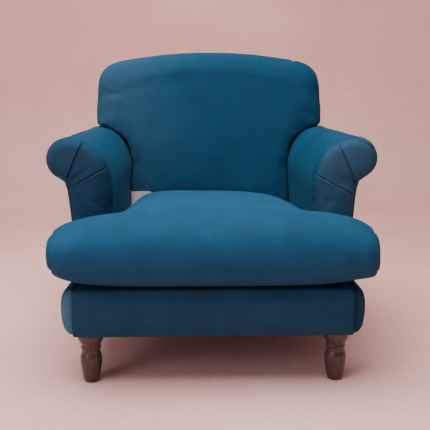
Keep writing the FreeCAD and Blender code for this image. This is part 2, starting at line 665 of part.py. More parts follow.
def glide(x, y):
    """Nylon glide under a foot."""
    disc = rod((x, y, 0), (x, y, GLIDE_T - 0.1), GLIDE_R)
    return disc.makeFillet(1.0, [e for e in disc.Edges if e.BoundBox.ZMax < 0.01])


def hanger_bolt(x, y):
    low = 96.0 if y > 0 else 86.0
    return rod((x, y, low), (x, y, RAIL_Z0 + BLOCK_T - 1.0), BOLT_R - 0.1)


def t_nut(x, y):
    top = RAIL_Z0 + BLOCK_T + 0.1
    nut = rod((x, y, top), (x, y, top + 1.6), 11.0).fuse(rod((x, y, top - 12.0), (x, y, top + 0.5), 6.0))
    return nut.cut(rod((x, y, top - 20.0), (x, y, top + 10.0), BOLT_R + 0.1))


# ================================================================ whole chair
def build():
    """Every piece, by name; a list holds identical separate solids."""
    parts = {}
    sided = {}
    bores = Part.makeCompound(right_bores())
    all_bores = Part.makeCompound(both(bores))

    for name, shape in timber_pieces().items():
        drilled = shape.cut(all_bores)
        if name.startswith(("front_", "rear_")) or name in ("back_top_rail", "back_lower_rail"):
            parts[name] = drilled
        else:
            sided[name] = drilled
    blocks = [corner_block(rear).cut(bores) for rear in (False, True)]
    parts["corner_blocks"] = both(blocks[0]) + both(blocks[1])
    screws = [screw(p, q) for rear in (False, True) for p, q in block_screws(rear)]
    parts["corner_block_screws"] = [s for one in screws for s in both(one)]
    parts["frame_bolts"] = [s for y, z in bolt_axes() for s in both(frame_bolt(y, z))]

    springs = seat_spring(0.0)
    parts["seat_springs"] = [springs.translated(V(x, 0, 0)) for x in SPRING_X]
    last_y = SPRING_Y0 + 2.0 * SPRING_BEND_R * (SPRING_RUNS - 1)
    parts["spring_clips"] = [spring_clip(x, y, way) for x in SPRING_X
                             for y, way in ((SPRING_Y0, 1.0), (last_y, -1.0))]
    tie_z = SPRING_Z + SPRING_WIRE_R + 1.3
    parts["spring_tie_wires"] = [rod((-250.0, y, tie_z), (250.0, y, tie_z), 1.1) for y in TIE_Y]
    parts["seat_hessian"] = prism_z(DECK, 234.2, 235.6)
    parts["seat_deck_pad"] = prism_z(DECK, 236.0, 253.0)
    parts["front_edge_roll"] = front_edge_roll()
    lip_y = FRONT_RAIL_Y + 10.0
    platform = DECK[:4] + [(DECK_HALF_W, lip_y), (-DECK_HALF_W, lip_y)] + DECK[6:]
    parts["seat_platform_cloth"] = prism_z(platform, 253.3, 254.8)

    parts["back_webbing"] = [front_sheet(0.3, 0.3 + WEBBING_T, 331.0, z - WEBBING_W / 2, z + WEBBING_W / 2)
                             for z in WEBBING_Z]
    parts["back_hessian"] = front_sheet(2.4, 3.8, 331.0, 305.0, 790.0)
    wadding_outline = arch_points(320.0, 136.0, 780.0, 800.0, 8)
    parts["outside_back_wadding"] = rear_sheet(wadding_outline, 3.2, 9.0)
    parts["outside_back_cover"] = rear_sheet(outside_back_outline(0.0), 0.0, 2.6)

    arm_outer = arm_solid(-0.4, 240.0).cut(back_frame_slot(-0.4))
    parts.update(back_pieces(arm_outer))
    sided.update(arm_pieces())
    parts["arm_lower_rails"] = both(arm_lower_rail(0.0))
    parts["arm_hessian"] = both(box(300.2, -272.5, 264.0, 301.4, 317.0, 543.0))

    borders = border_pieces()
    parts["front_border_padding"] = borders["front_border_padding"]
    parts["front_border_cover"] = borders["front_border_cover"]
    sided["side_border_padding"] = borders["side_border_padding"]
    sided["side_border_cover"] = borders["side_border_cover"]

    parts.update(cushion_pieces())
    parts.update(zip_pieces())

    parts["dust_cloth"] = dust_cloth()
    parts["dust_cloth_staples"] = staples()
    sided["front_foot"] = turned_foot()
    sided["rear_foot"] = rear_foot()
    rear_sole = (REAR_FOOT[0], REAR_FOOT[1] + REAR_FOOT_KICK)
    soles = [FRONT_FOOT, rear_sole]
    parts["foot_glides"] = [s for x, y in soles for s in both(glide(x, y))]
    parts["foot_hanger_bolts"] = [s for x, y in foot_places() for s in both(hanger_bolt(x, y))]
    parts["foot_t_nuts"] = [s for x, y in foot_places() for s in both(t_nut(x, y))]

    for name, shape in sided.items():
        parts["right_" + name] = shape
        parts["left_" + name] = mirrored(shape)
    return parts


os.makedirs("parts", exist_ok=True)
for node, made in build().items():
    piece = Part.makeCompound(made) if isinstance(made, list) else made
    piece.exportStep("parts/" + node + ".step")
    print(node, len(piece.Solids), round(piece.Volume / 1000.0, 1), piece.isValid())
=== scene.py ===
"""Velvet scroll-arm armchair: soft covers, timber, hardware, floor, light and camera.

Metres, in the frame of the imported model: +Z up, the front of the chair faces -Y.
"""
import math

import bmesh
import bpy
import numpy as np
from mathutils import Matrix, Vector, noise


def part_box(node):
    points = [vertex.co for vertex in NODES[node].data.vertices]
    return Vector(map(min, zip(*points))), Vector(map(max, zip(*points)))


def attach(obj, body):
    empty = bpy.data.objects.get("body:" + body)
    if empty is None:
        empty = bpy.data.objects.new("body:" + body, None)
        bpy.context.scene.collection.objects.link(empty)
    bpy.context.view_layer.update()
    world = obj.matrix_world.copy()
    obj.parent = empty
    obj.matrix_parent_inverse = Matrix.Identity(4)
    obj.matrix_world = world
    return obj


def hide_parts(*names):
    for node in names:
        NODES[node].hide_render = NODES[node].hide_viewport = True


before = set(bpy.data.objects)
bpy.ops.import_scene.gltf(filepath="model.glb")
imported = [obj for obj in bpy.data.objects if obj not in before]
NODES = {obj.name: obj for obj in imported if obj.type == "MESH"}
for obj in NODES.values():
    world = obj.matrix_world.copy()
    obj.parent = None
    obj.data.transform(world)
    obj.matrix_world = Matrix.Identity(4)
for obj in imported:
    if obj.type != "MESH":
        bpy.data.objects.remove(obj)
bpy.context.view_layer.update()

MM = 0.001
SCENE = bpy.context.scene

# ------------------------------------------------------------------ sizes read from the frame
BASE_LOW, BASE_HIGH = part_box("front_border_cover")
ARM_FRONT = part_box("right_inside_arm_cover")[0].y
PANEL_LOW, PANEL_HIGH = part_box("outside_back_cover")
SIDE_LOW, SIDE_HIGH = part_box("right_side_border_cover")
SEAT_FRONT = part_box("cushion_cover")[0].y

BASE_Z, BASE_TOP = BASE_LOW.z, BASE_HIGH.z
REAR_SLOPE = (PANEL_HIGH.y - PANEL_LOW.y) / (PANEL_HIGH.z - PANEL_LOW.z)
BACK_SWELL = 3.7 * MM       # the rough back starts this far inside the padding, and then swells
BACK_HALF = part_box("inside_back_padding")[1].x - BACK_SWELL


def rear_y(z):
    """Outer face of the raked back."""
    return PANEL_HIGH.y - REAR_SLOPE * (PANEL_HIGH.z - z)


# ================================================================== mesh tools
def new_object(name, verts, faces):
    mesh = bpy.data.meshes.new(name)
    mesh.from_pydata([tuple(v) for v in verts], [], faces)
    bm = bmesh.new()
    bm.from_mesh(mesh)
    bmesh.ops.recalc_face_normals(bm, faces=bm.faces)
    bm.to_mesh(mesh)
    bm.free()
    obj = bpy.data.objects.new(name, mesh)
    SCENE.collection.objects.link(obj)
    return obj


def skin(name, rings):
    """Mesh through closed rings with equal point counts, with flat ends."""
    count = len(rings[0])
    verts = [p for ring in rings for p in ring]
    faces = []
    for i in range(len(rings) - 1):
        for j in range(count):
            a, b = i * count + j, i * count + (j + 1) % count
            faces.append((a, b, b + count, a + count))
    faces.append(tuple(range(count)))
    faces.append(tuple((len(rings) - 1) * count + j for j in range(count)))
    return new_object(name, verts, faces)


def coords(obj):
    flat = np.empty(len(obj.data.vertices) * 3)
    obj.data.vertices.foreach_get("co", flat)
    return flat.reshape(-1, 3)


def set_coords(obj, points):
    obj.data.vertices.foreach_set("co", np.ascontiguousarray(points).ravel())
    obj.data.update()


def normals(obj):
    flat = np.empty(len(obj.data.vertices) * 3)
    obj.data.vertices.foreach_get("normal", flat)
    return flat.reshape(-1, 3)


def bake(obj):
    """Turns the object's modifiers into mesh."""
    graph = bpy.context.evaluated_depsgraph_get()
    mesh = bpy.data.meshes.new_from_object(obj.evaluated_get(graph), depsgraph=graph)
    obj.modifiers.clear()
    old = obj.data
    obj.data = mesh
    bpy.data.meshes.remove(old)
    return obj


FINE, COARSE = 0.0065, 0.0075       # voxel sizes


def remesh(obj, size):
    mod = obj.modifiers.new("even", "REMESH")
    mod.mode = "VOXEL"
    mod.voxel_size = size
    mod.use_smooth_shade = True
    return bake(obj)


def subtract(obj, cutter):
    mod = obj.modifiers.new("cut", "BOOLEAN")
    mod.operation = "DIFFERENCE"
    mod.solver = "EXACT"
    mod.object = cutter
    bake(obj)


def subdivide(obj):
    mod = obj.modifiers.new("smooth", "SUBSURF")
    mod.levels = 1
    mod.render_levels = 1
    return bake(obj)


def relax(obj, rounds):
    """Evens the surface out: each round moves every point half way to its neighbours' mean."""
    pts = coords(obj)
    edges = np.empty(len(obj.data.edges) * 2, dtype=np.int64)
    obj.data.edges.foreach_get("vertices", edges)
    a, b = edges[0::2], edges[1::2]
    degree = np.bincount(edges, minlength=len(pts)).astype(float)[:, None]
    for _ in range(rounds):
        total = np.zeros_like(pts)
        np.add.at(total, a, pts[b])
        np.add.at(total, b, pts[a])
        pts = pts + (total / degree - pts) * 0.5
    set_coords(obj, pts)


def smooth_line(points, count):
    """Evenly spaced points on a smooth curve through the given ones."""
    pts = np.asarray(points, dtype=float)
    ext = np.vstack([2 * pts[0] - pts[1], pts, 2 * pts[-1] - pts[-2]])
    dense = []
    for i in range(1, len(ext) - 2):
        p0, p1, p2, p3 = ext[i - 1], ext[i], ext[i + 1], ext[i + 2]
        t = np.linspace(0, 1, 24, endpoint=False)[:, None]
        dense.append(0.5 * (2 * p1 + (p2 - p0) * t + (2 * p0 - 5 * p1 + 4 * p2 - p3) * t ** 2
                            + (3 * p1 - p0 - 3 * p2 + p3) * t ** 3))
    dense = np.vstack(dense + [pts[-1:]])
    run = np.concatenate([[0], np.cumsum(np.linalg.norm(np.diff(dense, axis=0), axis=1))])
    want = np.linspace(0, run[-1], count)
    return np.stack([np.interp(want, run, dense[:, k]) for k in range(pts.shape[1])], axis=1)


def inward(outline):
    """Unit normals pointing to the right of an open 2-D outline."""
    step = np.gradient(outline, axis=0)
    step /= np.linalg.norm(step, axis=1)[:, None]
    return np.stack([step[:, 1], -step[:, 0]], axis=1)


def near_segment(points, a, b):
    """(distance, side, run 0 to 1) of 2-D points to the segment a-b."""
    a, b = np.asarray(a, float), np.asarray(b, float)
    way = b - a
    length = np.linalg.norm(way)
    way /= length
    rel = points - a
    run = rel @ way
    side = rel[:, 0] * way[1] - rel[:, 1] * way[0]
    nearest = np.clip(run, 0, length)
    dist = np.linalg.norm(rel - nearest[:, None] * way, axis=1)
    return dist, side, run / length


def ripple(points, scale, seed):
    """Smooth noise from -1 to 1 at each point."""
    shift = Vector((seed * 3.1, seed * 1.7, seed * 0.9))
    return np.array([noise.noise(Vector(p) * scale + shift) for p in points])


# ================================================================== cloth
CLOTH_FRAMES = 12
CLOTH_STIFFNESS = 12.0


def inflate(obj, pressure, cap, pinned):
    """Lets a padded cover swell as cloth, then keeps the result, moved no further than cap."""
    start = coords(obj)
    mod = obj.modifiers.new("cloth", "CLOTH")
    cloth = mod.settings
    cloth.quality = 4
    cloth.mass = 0.35
    cloth.tension_stiffness = CLOTH_STIFFNESS
    cloth.compression_stiffness = CLOTH_STIFFNESS
    cloth.shear_stiffness = CLOTH_STIFFNESS * 0.5
    cloth.bending_stiffness = 0.4
    cloth.air_damping = 4.0
    cloth.use_pressure = True
    cloth.uniform_pressure_force = pressure
    cloth.effector_weights.gravity = 0
    mod.collision_settings.use_collision = False
    group = obj.vertex_groups.new(name="pinned")
    group.add([int(i) for i in np.nonzero(pinned)[0]], 1.0, "REPLACE")
    cloth.vertex_group_mass = "pinned"
    for step in range(1, CLOTH_FRAMES + 1):
        SCENE.frame_set(step)
    graph = bpy.context.evaluated_depsgraph_get()
    swollen = obj.evaluated_get(graph).to_mesh()
    flat = np.empty(len(swollen.vertices) * 3)
    swollen.vertices.foreach_get("co", flat)
    move = flat.reshape(-1, 3) - start
    obj.modifiers.clear()
    SCENE.frame_set(1)
    length = np.linalg.norm(move, axis=1)
    limit = np.where(length > cap, cap / np.maximum(length, 1e-9), 1.0)
    set_coords(obj, start + move * limit[:, None])


# ================================================================== materials
def shader(name):
    mat = bpy.data.materials.new(name)
    mat.use_nodes = True
    tree = mat.node_tree
    bsdf = next(n for n in tree.nodes if n.type == "BSDF_PRINCIPLED")
    return mat, tree, bsdf


def add(tree, kind, **values):
    node = tree.nodes.new(kind)
    for key, value in values.items():
        if key in node.inputs:
            node.inputs[key].default_value = value
        else:
            setattr(node, key, value)
    return node


def object_coords(tree):
    return add(tree, "ShaderNodeTexCoord").outputs["Object"]


def noise_tex(tree, scale, detail=3.0, rough=0.55, warp=0.0):
    node = add(tree, "ShaderNodeTexNoise")
    node.inputs["Scale"].default_value = scale
    node.inputs["Detail"].default_value = detail
    node.inputs["Roughness"].default_value = rough
    node.inputs["Distortion"].default_value = warp
    tree.links.new(object_coords(tree), node.inputs["Vector"])
    return node.outputs["Fac"]


def ramp(tree, source, stops):
    node = add(tree, "ShaderNodeValToRGB")
    while len(node.color_ramp.elements) < len(stops):
        node.color_ramp.elements.new(0.5)
    for element, (place, colour) in zip(node.color_ramp.elements, stops):
        element.position = place
        element.color = tuple(colour) + (1.0,)
    tree.links.new(source, node.inputs["Fac"])
    return node.outputs["Color"]


def bump(tree, bsdf, layers):
    """layers: (height socket, strength, distance)."""
    last = None
    for height, strength, distance in layers:
        node = add(tree, "ShaderNodeBump")
        node.inputs["Strength"].default_value = strength
        node.inputs["Distance"].default_value = distance
        tree.links.new(height, node.inputs["Height"])
        if last is not None:
            tree.links.new(last, node.inputs["Normal"])
        last = node.outputs["Normal"]
    tree.links.new(last, bsdf.inputs["Normal"])


def mix(tree, factor, a, b, mode="MIX"):
    node = add(tree, "ShaderNodeMix", data_type="RGBA", blend_type=mode)
    for key, value in (("Factor", factor), ("A", a), ("B", b)):
        sockets = [s for s in node.inputs if s.name == key and s.enabled]
        if hasattr(value, "is_output"):
            tree.links.new(value, sockets[0])
        elif key == "Factor":
            sockets[0].default_value = value
        else:
            sockets[0].default_value = tuple(value) + (1.0,)
    return next(s for s in node.outputs if s.name == "Result" and s.enabled)


PILE_DEEP = (0.0028, 0.0500, 0.1080)      # looking into the pile
PAINTED_FRONT_SHEEN = (0.0150, 0.0510, 0.1030)      # painted sheen: greyer tone on faces that look to the front
PAINTED_TOP_LIGHT = (0.0150, 0.0850, 0.1760)      # painted top light: paler tone on faces turned upwards
PAINTED_SEAT_FRONT_SHEEN = (0.0160, 0.0660, 0.1420)      # painted sheen: the seat's greyer tone on faces that look to the front
PAINTED_LIGHT_GREY = (0.0330, 0.0860, 0.1500)      # painted light: paler grey on the lit left side, and on the right arm's front faces
PAINTED_LEFT_LIGHT = (0.0600, 0.1450, 0.2350)       # painted light from the left, along the left of the base


def facing(tree, direction, low, high):
    """0 to 1 as a surface turns to face one fixed direction of the chair."""
    dot = add(tree, "ShaderNodeVectorMath", operation="DOT_PRODUCT")
    tree.links.new(add(tree, "ShaderNodeNewGeometry").outputs["Normal"], dot.inputs[0])
    dot.inputs[1].default_value = direction
    span = add(tree, "ShaderNodeMapRange", interpolation_type="SMOOTHSTEP")
    span.inputs["From Min"].default_value = low
    span.inputs["From Max"].default_value = high
    tree.links.new(dot.outputs["Value"], span.inputs["Value"])
    return span.outputs["Result"]


def across_chair(tree, start, end):
    """0 to 1 along X, broken up by soft noise."""
    split = add(tree, "ShaderNodeSeparateXYZ")
    tree.links.new(object_coords(tree), split.inputs["Vector"])
    shake = add(tree, "ShaderNodeMath", operation="MULTIPLY_ADD")
    tree.links.new(noise_tex(tree, 4.0, 3.0, 0.5, 0.8), shake.inputs[0])
    shake.inputs[1].default_value = 0.30
    tree.links.new(split.outputs["X"], shake.inputs[2])
    span = add(tree, "ShaderNodeMapRange", interpolation_type="SMOOTHSTEP")
    span.inputs["From Min"].default_value = start + 0.15
    span.inputs["From Max"].default_value = end + 0.15
    tree.links.new(shake.outputs["Value"], span.inputs["Value"])
    return span.outputs["Result"]


def times(tree, source, factor):
    node = add(tree, "ShaderNodeMath", operation="MULTIPLY")
    tree.links.new(source, node.inputs[0])
    node.inputs[1].default_value = factor
    return node.outputs["Value"]


def velvet(name, front_sheen=1.0, pale=0.0, worn=None, worn_tone=PAINTED_LIGHT_GREY, sheen=0.06, flat=PAINTED_FRONT_SHEEN):
    """Deep cotton velvet with painted light: its tone changes with the way each face turns and with the side
    of the chair.

    front_sheen is the share of the flat tone, a painted sheen, on faces that look to the front; pale the
    share of the painted top light on upward ones; and worn (from x, to x, share) paints light from one
    side onto that side of the chair.
    """
    mat, tree, bsdf = shader(name)
    front = facing(tree, (0.0, -1.0, 0.0), 0.15, 0.85)
    sweep = noise_tex(tree, 3.2, 3.0, 0.5, 0.6)
    darker, lighter = (tuple(c * share for c in PILE_DEEP) for share in (0.86, 1.16))
    deep = ramp(tree, sweep, [(0.30, darker), (0.72, lighter)])
    # painted sheen: faces turned to the front are mixed towards the flat tone
    base = mix(tree, times(tree, front, front_sheen), deep, flat)
    if pale:
        # painted top light: faces turned up and forward are mixed towards a paler tone
        top = facing(tree, (0.0, -0.45, 0.89), -0.35, 1.0)
        base = mix(tree, times(tree, top, pale), base, PAINTED_TOP_LIGHT)
    if worn:
        # painted side light: one side of the chair, along X, is mixed towards worn_tone
        side = across_chair(tree, worn[0], worn[1])
        base = mix(tree, times(tree, side, worn[2]), base, worn_tone)
    patches = noise_tex(tree, 11.0, 5.0, 0.6, 1.1)
    rubbed = ramp(tree, patches, [(0.36, (0.76, 0.80, 0.82)), (0.64, (1.20, 1.13, 1.10))])
    base = mix(tree, 0.55, base, mix(tree, 1.0, base, rubbed, "MULTIPLY"))
    specks = noise_tex(tree, 900.0, 2.0, 0.6)
    speck = ramp(tree, specks, [(0.35, (0.80, 0.80, 0.82)), (0.65, (1.22, 1.18, 1.16))])
    base = mix(tree, 0.6, base, mix(tree, 1.0, base, speck, "MULTIPLY"))
    tree.links.new(base, bsdf.inputs["Base Color"])
    rough = ramp(tree, patches, [(0.3, (0.78,) * 3), (0.7, (0.92,) * 3)])
    tree.links.new(rough, bsdf.inputs["Roughness"])
    bsdf.inputs["Sheen Weight"].default_value = sheen
    bsdf.inputs["Sheen Roughness"].default_value = 0.35
    bsdf.inputs["Sheen Tint"].default_value = (0.22, 0.50, 0.72, 1.0)
    bsdf.inputs["Specular IOR Level"].default_value = 0.10
    pile = noise_tex(tree, 1400.0, 2.0, 0.7)
    nap = noise_tex(tree, 42.0, 4.0, 0.6, 0.8)
    bump(tree, bsdf, [(nap, 0.20, 0.0018), (pile, 0.35, 0.0004)])
    return mat


def woven(name, light, dark, pitch, roughness=0.9):
    """Plain-woven cloth with visible threads."""
    mat, tree, bsdf = shader(name)
    waves = []
    for axis in ("X", "Y", "Z"):
        wave = add(tree, "ShaderNodeTexWave", wave_type="BANDS", bands_direction=axis)
        wave.inputs["Scale"].default_value = 1.0 / (pitch * 6.2832) * 3.1416
        wave.inputs["Distortion"].default_value = 0.4
        wave.inputs["Detail"].default_value = 1.0
        tree.links.new(object_coords(tree), wave.inputs["Vector"])
        waves.append(wave.outputs["Fac"])
    weave = mix(tree, 0.5, mix(tree, 0.5, waves[0], waves[1]), waves[2])
    tone = ramp(tree, weave, [(0.2, dark), (0.8, light)])
    stain = ramp(tree, noise_tex(tree, 9.0, 4.0), [(0.3, (0.88, 0.87, 0.85)), (0.7, (1.04, 1.04, 1.04))])
    tree.links.new(mix(tree, 1.0, tone, stain, "MULTIPLY"), bsdf.inputs["Base Color"])
    bsdf.inputs["Roughness"].default_value = roughness
    bsdf.inputs["Sheen Weight"].default_value = 0.2
    bsdf.inputs["Specular IOR Level"].default_value = 0.2
    bump(tree, bsdf, [(weave, 0.5, pitch * 0.35)])
    return mat


def foam(name, colour):
    mat, tree, bsdf = shader(name)
    cells = add(tree, "ShaderNodeTexVoronoi")
    cells.inputs["Scale"].default_value = 420.0
    tree.links.new(object_coords(tree), cells.inputs["Vector"])
    tone = ramp(tree, cells.outputs["Distance"], [(0.0, tuple(c * 0.7 for c in colour)), (0.5, colour)])
    tree.links.new(tone, bsdf.inputs["Base Color"])
    bsdf.inputs["Roughness"].default_value = 0.95
    bump(tree, bsdf, [(cells.outputs["Distance"], 0.5, 0.0012)])
    return mat


def timber(name, light, dark, grain_axis, polish=0.5, coat=0.0):
    """Wood with grain stretched along one axis, pores and worn tone."""
    mat, tree, bsdf = shader(name)
    place = add(tree, "ShaderNodeMapping")
    stretch = [34.0, 34.0, 34.0]
    stretch["XYZ".index(grain_axis)] = 2.6
    place.inputs["Scale"].default_value = stretch
    tree.links.new(object_coords(tree), place.inputs["Vector"])
    rings = add(tree, "ShaderNodeTexNoise")
    rings.inputs["Scale"].default_value = 1.0
    rings.inputs["Detail"].default_value = 6.0
    rings.inputs["Distortion"].default_value = 1.3
    tree.links.new(place.outputs["Vector"], rings.inputs["Vector"])
    pores = add(tree, "ShaderNodeTexNoise")
    pores.inputs["Scale"].default_value = 9.0
    pores.inputs["Detail"].default_value = 3.0
    tree.links.new(place.outputs["Vector"], pores.inputs["Vector"])
    tone = ramp(tree, rings.outputs["Fac"], [(0.30, dark), (0.52, light), (0.74, dark)])
    dots = ramp(tree, pores.outputs["Fac"], [(0.38, (0.62, 0.60, 0.58)), (0.52, (1.0, 1.0, 1.0))])
    rubs = noise_tex(tree, 24.0, 5.0, 0.6, 0.5)
    worn = ramp(tree, rubs, [(0.35, (0.82, 0.80, 0.78)), (0.68, (1.18, 1.14, 1.12))])
    tone = mix(tree, 1.0, mix(tree, 1.0, tone, dots, "MULTIPLY"), worn, "MULTIPLY")
    tree.links.new(tone, bsdf.inputs["Base Color"])
    gloss = ramp(tree, noise_tex(tree, 60.0, 4.0), [(0.3, (polish - 0.08,) * 3), (0.7, (polish + 0.10,) * 3)])
    tree.links.new(gloss, bsdf.inputs["Roughness"])
    bsdf.inputs["Coat Weight"].default_value = coat
    bsdf.inputs["Coat Roughness"].default_value = 0.3
    bump(tree, bsdf, [(pores.outputs["Fac"], 0.18, 0.0004), (rings.outputs["Fac"], 0.10, 0.0006)])
    return mat


def metal(name, colour, roughness):
    mat, tree, bsdf = shader(name)
    darker = tuple(c * 0.75 for c in colour)
    marks = ramp(tree, noise_tex(tree, 180.0, 4.0, 0.7), [(0.35, darker), (0.65, colour)])
    tree.links.new(marks, bsdf.inputs["Base Color"])
    bsdf.inputs["Metallic"].default_value = 1.0
    rubbed = noise_tex(tree, 90.0, 4.0, 0.7)
    wear = ramp(tree, rubbed, [(0.3, (roughness,) * 3), (0.7, (roughness + 0.2,) * 3)])
    tree.links.new(wear, bsdf.inputs["Roughness"])
    bump(tree, bsdf, [(noise_tex(tree, 500.0, 2.0), 0.08, 0.0002)])
    return mat


def nylon(name):
    mat, tree, bsdf = shader(name)
    mottle = noise_tex(tree, 120.0, 3.0)
    tone = ramp(tree, mottle, [(0.3, (0.016, 0.014, 0.013)), (0.7, (0.035, 0.031, 0.029))])
    tree.links.new(tone, bsdf.inputs["Base Color"])
    bsdf.inputs["Roughness"].default_value = 0.55
    bump(tree, bsdf, [(noise_tex(tree, 400.0, 2.0), 0.1, 0.0002)])
    return mat


def concrete(name):
    mat, tree, bsdf = shader(name)
    cloud = noise_tex(tree, 1.1, 5.0, 0.6, 0.5)
    tone = ramp(tree, cloud, [(0.3, (0.85, 0.465, 0.410)), (0.7, (0.98, 0.58, 0.515))])
    grit = ramp(tree, noise_tex(tree, 55.0, 6.0, 0.7), [(0.35, (0.92,) * 3), (0.65, (1.05,) * 3)])
    tree.links.new(mix(tree, 1.0, tone, grit, "MULTIPLY"), bsdf.inputs["Base Color"])
    bsdf.inputs["Roughness"].default_value = 0.85
    bump(tree, bsdf, [(noise_tex(tree, 30.0, 6.0, 0.7), 0.12, 0.002)])
    return mat


# the velvet copies below differ only in painted light: a painted sheen on faces turned to the front, a
# painted top light on the seat and back, and painted light from the left on the back, the left arm and the
# left side border
VELVET_TOP = velvet("velvet")
VELVET_SEAT = velvet("velvet seat", 0.85, 0.62, sheen=0.10, flat=PAINTED_SEAT_FRONT_SHEEN)
VELVET_BACK = velvet("velvet back", 0.40, 0.05, worn=(0.02, -0.36, 0.55))
VELVET_BASE = velvet("velvet base", 0.85)
VELVET_BASE_LEFT = velvet("velvet base left", worn=(-0.30, -0.36, 0.9), worn_tone=PAINTED_LEFT_LIGHT, flat=PAINTED_LEFT_LIGHT)
VELVET_ARM_RIGHT = velvet("velvet arm right", 0.85, flat=PAINTED_LIGHT_GREY)
VELVET_ARM_LEFT = velvet("velvet arm left", 1.0, worn=(-0.38, -0.43, 0.6))
LINING = woven("cream lining", (0.80, 0.76, 0.74), (0.62, 0.58, 0.55), 0.0010)
HESSIAN = woven("hessian", (0.40, 0.29, 0.16), (0.20, 0.13, 0.06), 0.0024)
WEBBING = woven("black webbing", (0.05, 0.048, 0.045), (0.018, 0.017, 0.016), 0.0020)
DUST = woven("black dust cloth", (0.028, 0.028, 0.030), (0.012, 0.012, 0.013), 0.0011)
WADDING = foam("polyester wadding", (0.80, 0.80, 0.78))
FOAM = foam("cream foam", (0.72, 0.62, 0.36))
BEECH_X = timber("beech across", (0.50, 0.31, 0.16), (0.36, 0.21, 0.10), "X")
BEECH_Y = timber("beech lengthways", (0.50, 0.31, 0.16), (0.36, 0.21, 0.10), "Y")
BEECH_Z = timber("beech upright", (0.50, 0.31, 0.16), (0.36, 0.21, 0.10), "Z")
PLY = timber("plywood", (0.58, 0.40, 0.22), (0.46, 0.30, 0.15), "Z")
FOOT = timber("stained foot", (0.070, 0.032, 0.030), (0.030, 0.0135, 0.0135), "Z", 0.42, 0.25)
ZINC = metal("zinc-plated steel", (0.62, 0.62, 0.58), 0.28)
SPRING = metal("oiled spring steel", (0.20, 0.20, 0.21), 0.35)
ZIP_METAL = metal("dark zip metal", (0.10, 0.11, 0.12), 0.30)
ZIP_TAPE = woven("zip tape", (0.012, 0.050, 0.085), (0.005, 0.024, 0.045), 0.0007)
GLIDE = nylon("nylon glide")


def paint(obj, mat):
    if obj.data.materials:
        for i in range(len(obj.data.materials)):
            obj.data.materials[i] = mat
    else:
        obj.data.materials.append(mat)


def finish_nodes():
    """Every CAD piece that stays in view gets its own material."""
    looks = {
        "front_seat_rail": BEECH_X, "rear_seat_rail": BEECH_X, "back_top_rail": BEECH_X,
        "back_lower_rail": BEECH_X, "corner_blocks": BEECH_X, "side_rail": BEECH_Y,
        "arm_top_rail": BEECH_Y, "arm_lower_rails": BEECH_Y, "arm_front_post": BEECH_Z,
        "back_upright": BEECH_Z, "arm_scroll_facing": PLY, "corner_block_screws": ZINC,
        "frame_bolts": ZINC, "spring_clips": ZINC, "foot_hanger_bolts": ZINC, "foot_t_nuts": ZINC,
        "dust_cloth_staples": ZINC, "seat_springs": SPRING, "spring_tie_wires": SPRING,
        "seat_hessian": HESSIAN, "back_hessian": HESSIAN, "arm_hessian": HESSIAN,
        "back_webbing": WEBBING, "dust_cloth": DUST, "seat_platform_cloth": LINING,
        "inside_back_fly": LINING, "outside_back_wadding": WADDING, "seat_deck_pad": FOAM,
        "front_edge_roll": FOAM, "cushion_foam_core": FOAM, "border_padding": WADDING,
        "cushion_zip": ZIP_TAPE, "zip_slider": ZIP_METAL, "zip_pull": ZIP_METAL,
        "foot_glides": GLIDE, "front_foot": FOOT, "rear_foot": FOOT,
    }
    for name, obj in NODES.items():
        plain = name.replace("left_", "").replace("right_", "")
        if plain.endswith("border_padding"):
            plain = "border_padding"
        paint(obj, looks.get(plain, VELVET_TOP))


# ================================================================== arms
# outline of the right arm seen from the front, from the foot of its inner face round the roll
ARM_OUTLINE = [(274, 250), (273, 340), (273, 430), (271, 490), (272, 530), (277, 562), (289, 590),
               (307, 610), (330, 625), (356, 634), (384, 638), (410, 633), (430, 619), (441, 600),
               (445, 577), (440, 555), (427, 537), (410, 526), (398, 516), (392, 500), (387, 470),
               (383, 424), (377, 335), (371, 250)]
NECK = (0.390, 0.512)
ARM_EDGE = 0.030
ARM_FALL = 0.012            # the roll drops towards the back


def arm_fall(y, z):
    """How far a point of the roll sits lower than it does at the front."""
    along = min(1.0, max(0.0, (y + 0.28) / 0.65))
    return ARM_FALL * along * min(1.0, max(0.0, (z - 0.47) / 0.13))


def arm_rough(inset, low_z, rear):
    """Closed rough form of the right arm."""
    line = smooth_line(np.array(ARM_OUTLINE) * MM, 120)
    toward = inward(line)
    rings = []
    front = ARM_FRONT + inset
    for t in (0.0, 0.03, 0.09, 0.18, 0.32, 0.5, 0.72, 1.0):
        shrink = inset + ARM_EDGE * (1.0 - math.sqrt(1.0 - (1.0 - t) ** 2))
        ring = line + toward * shrink
        ring[0, 1] = ring[-1, 1] = low_z
        y = front + ARM_EDGE * t
        rings.append([(x, y, z - arm_fall(y, z)) for x, z in ring])
    ring = line + toward * inset
    ring[0, 1] = ring[-1, 1] = low_z
    for part in (0.15, 0.3, 0.45, 0.6, 0.75, 0.9, 1.0):
        start = front + ARM_EDGE
        lengthened = []
        for x, z in ring:
            y = start + part * (rear_y(z) - 0.003 - rear - start)
            lengthened.append((x, y, z - arm_fall(y, z)))
        rings.append(lengthened)
    return skin("arm", rings)


def refine_front(obj, y_line):
    """One more subdivision of everything ahead of y_line, where the pleats are."""
    bm = bmesh.new()
    bm.from_mesh(obj.data)
    edges = [e for e in bm.edges if e.verts[0].co.y < y_line and e.verts[1].co.y < y_line]
    bmesh.ops.subdivide_edges(bm, edges=edges, cuts=1, use_grid_fill=True, smooth=0.0)
    bm.to_mesh(obj.data)
    bm.free()
    for poly in obj.data.polygons:
        poly.use_smooth = True
    obj.data.update()


def fold(depth, width, dist, side, run, over):
    """Height of a pleat: a sharp lap on one side of its line that fades out on the other."""
    fade = np.clip(1.15 - np.abs(run - 0.5) * 2, 0, 0.3) / 0.3
    lap = np.where(side * over > 0, np.exp(-dist / width), -0.8 * np.exp(-(dist / 0.0022) ** 2))
    return depth * lap * fade


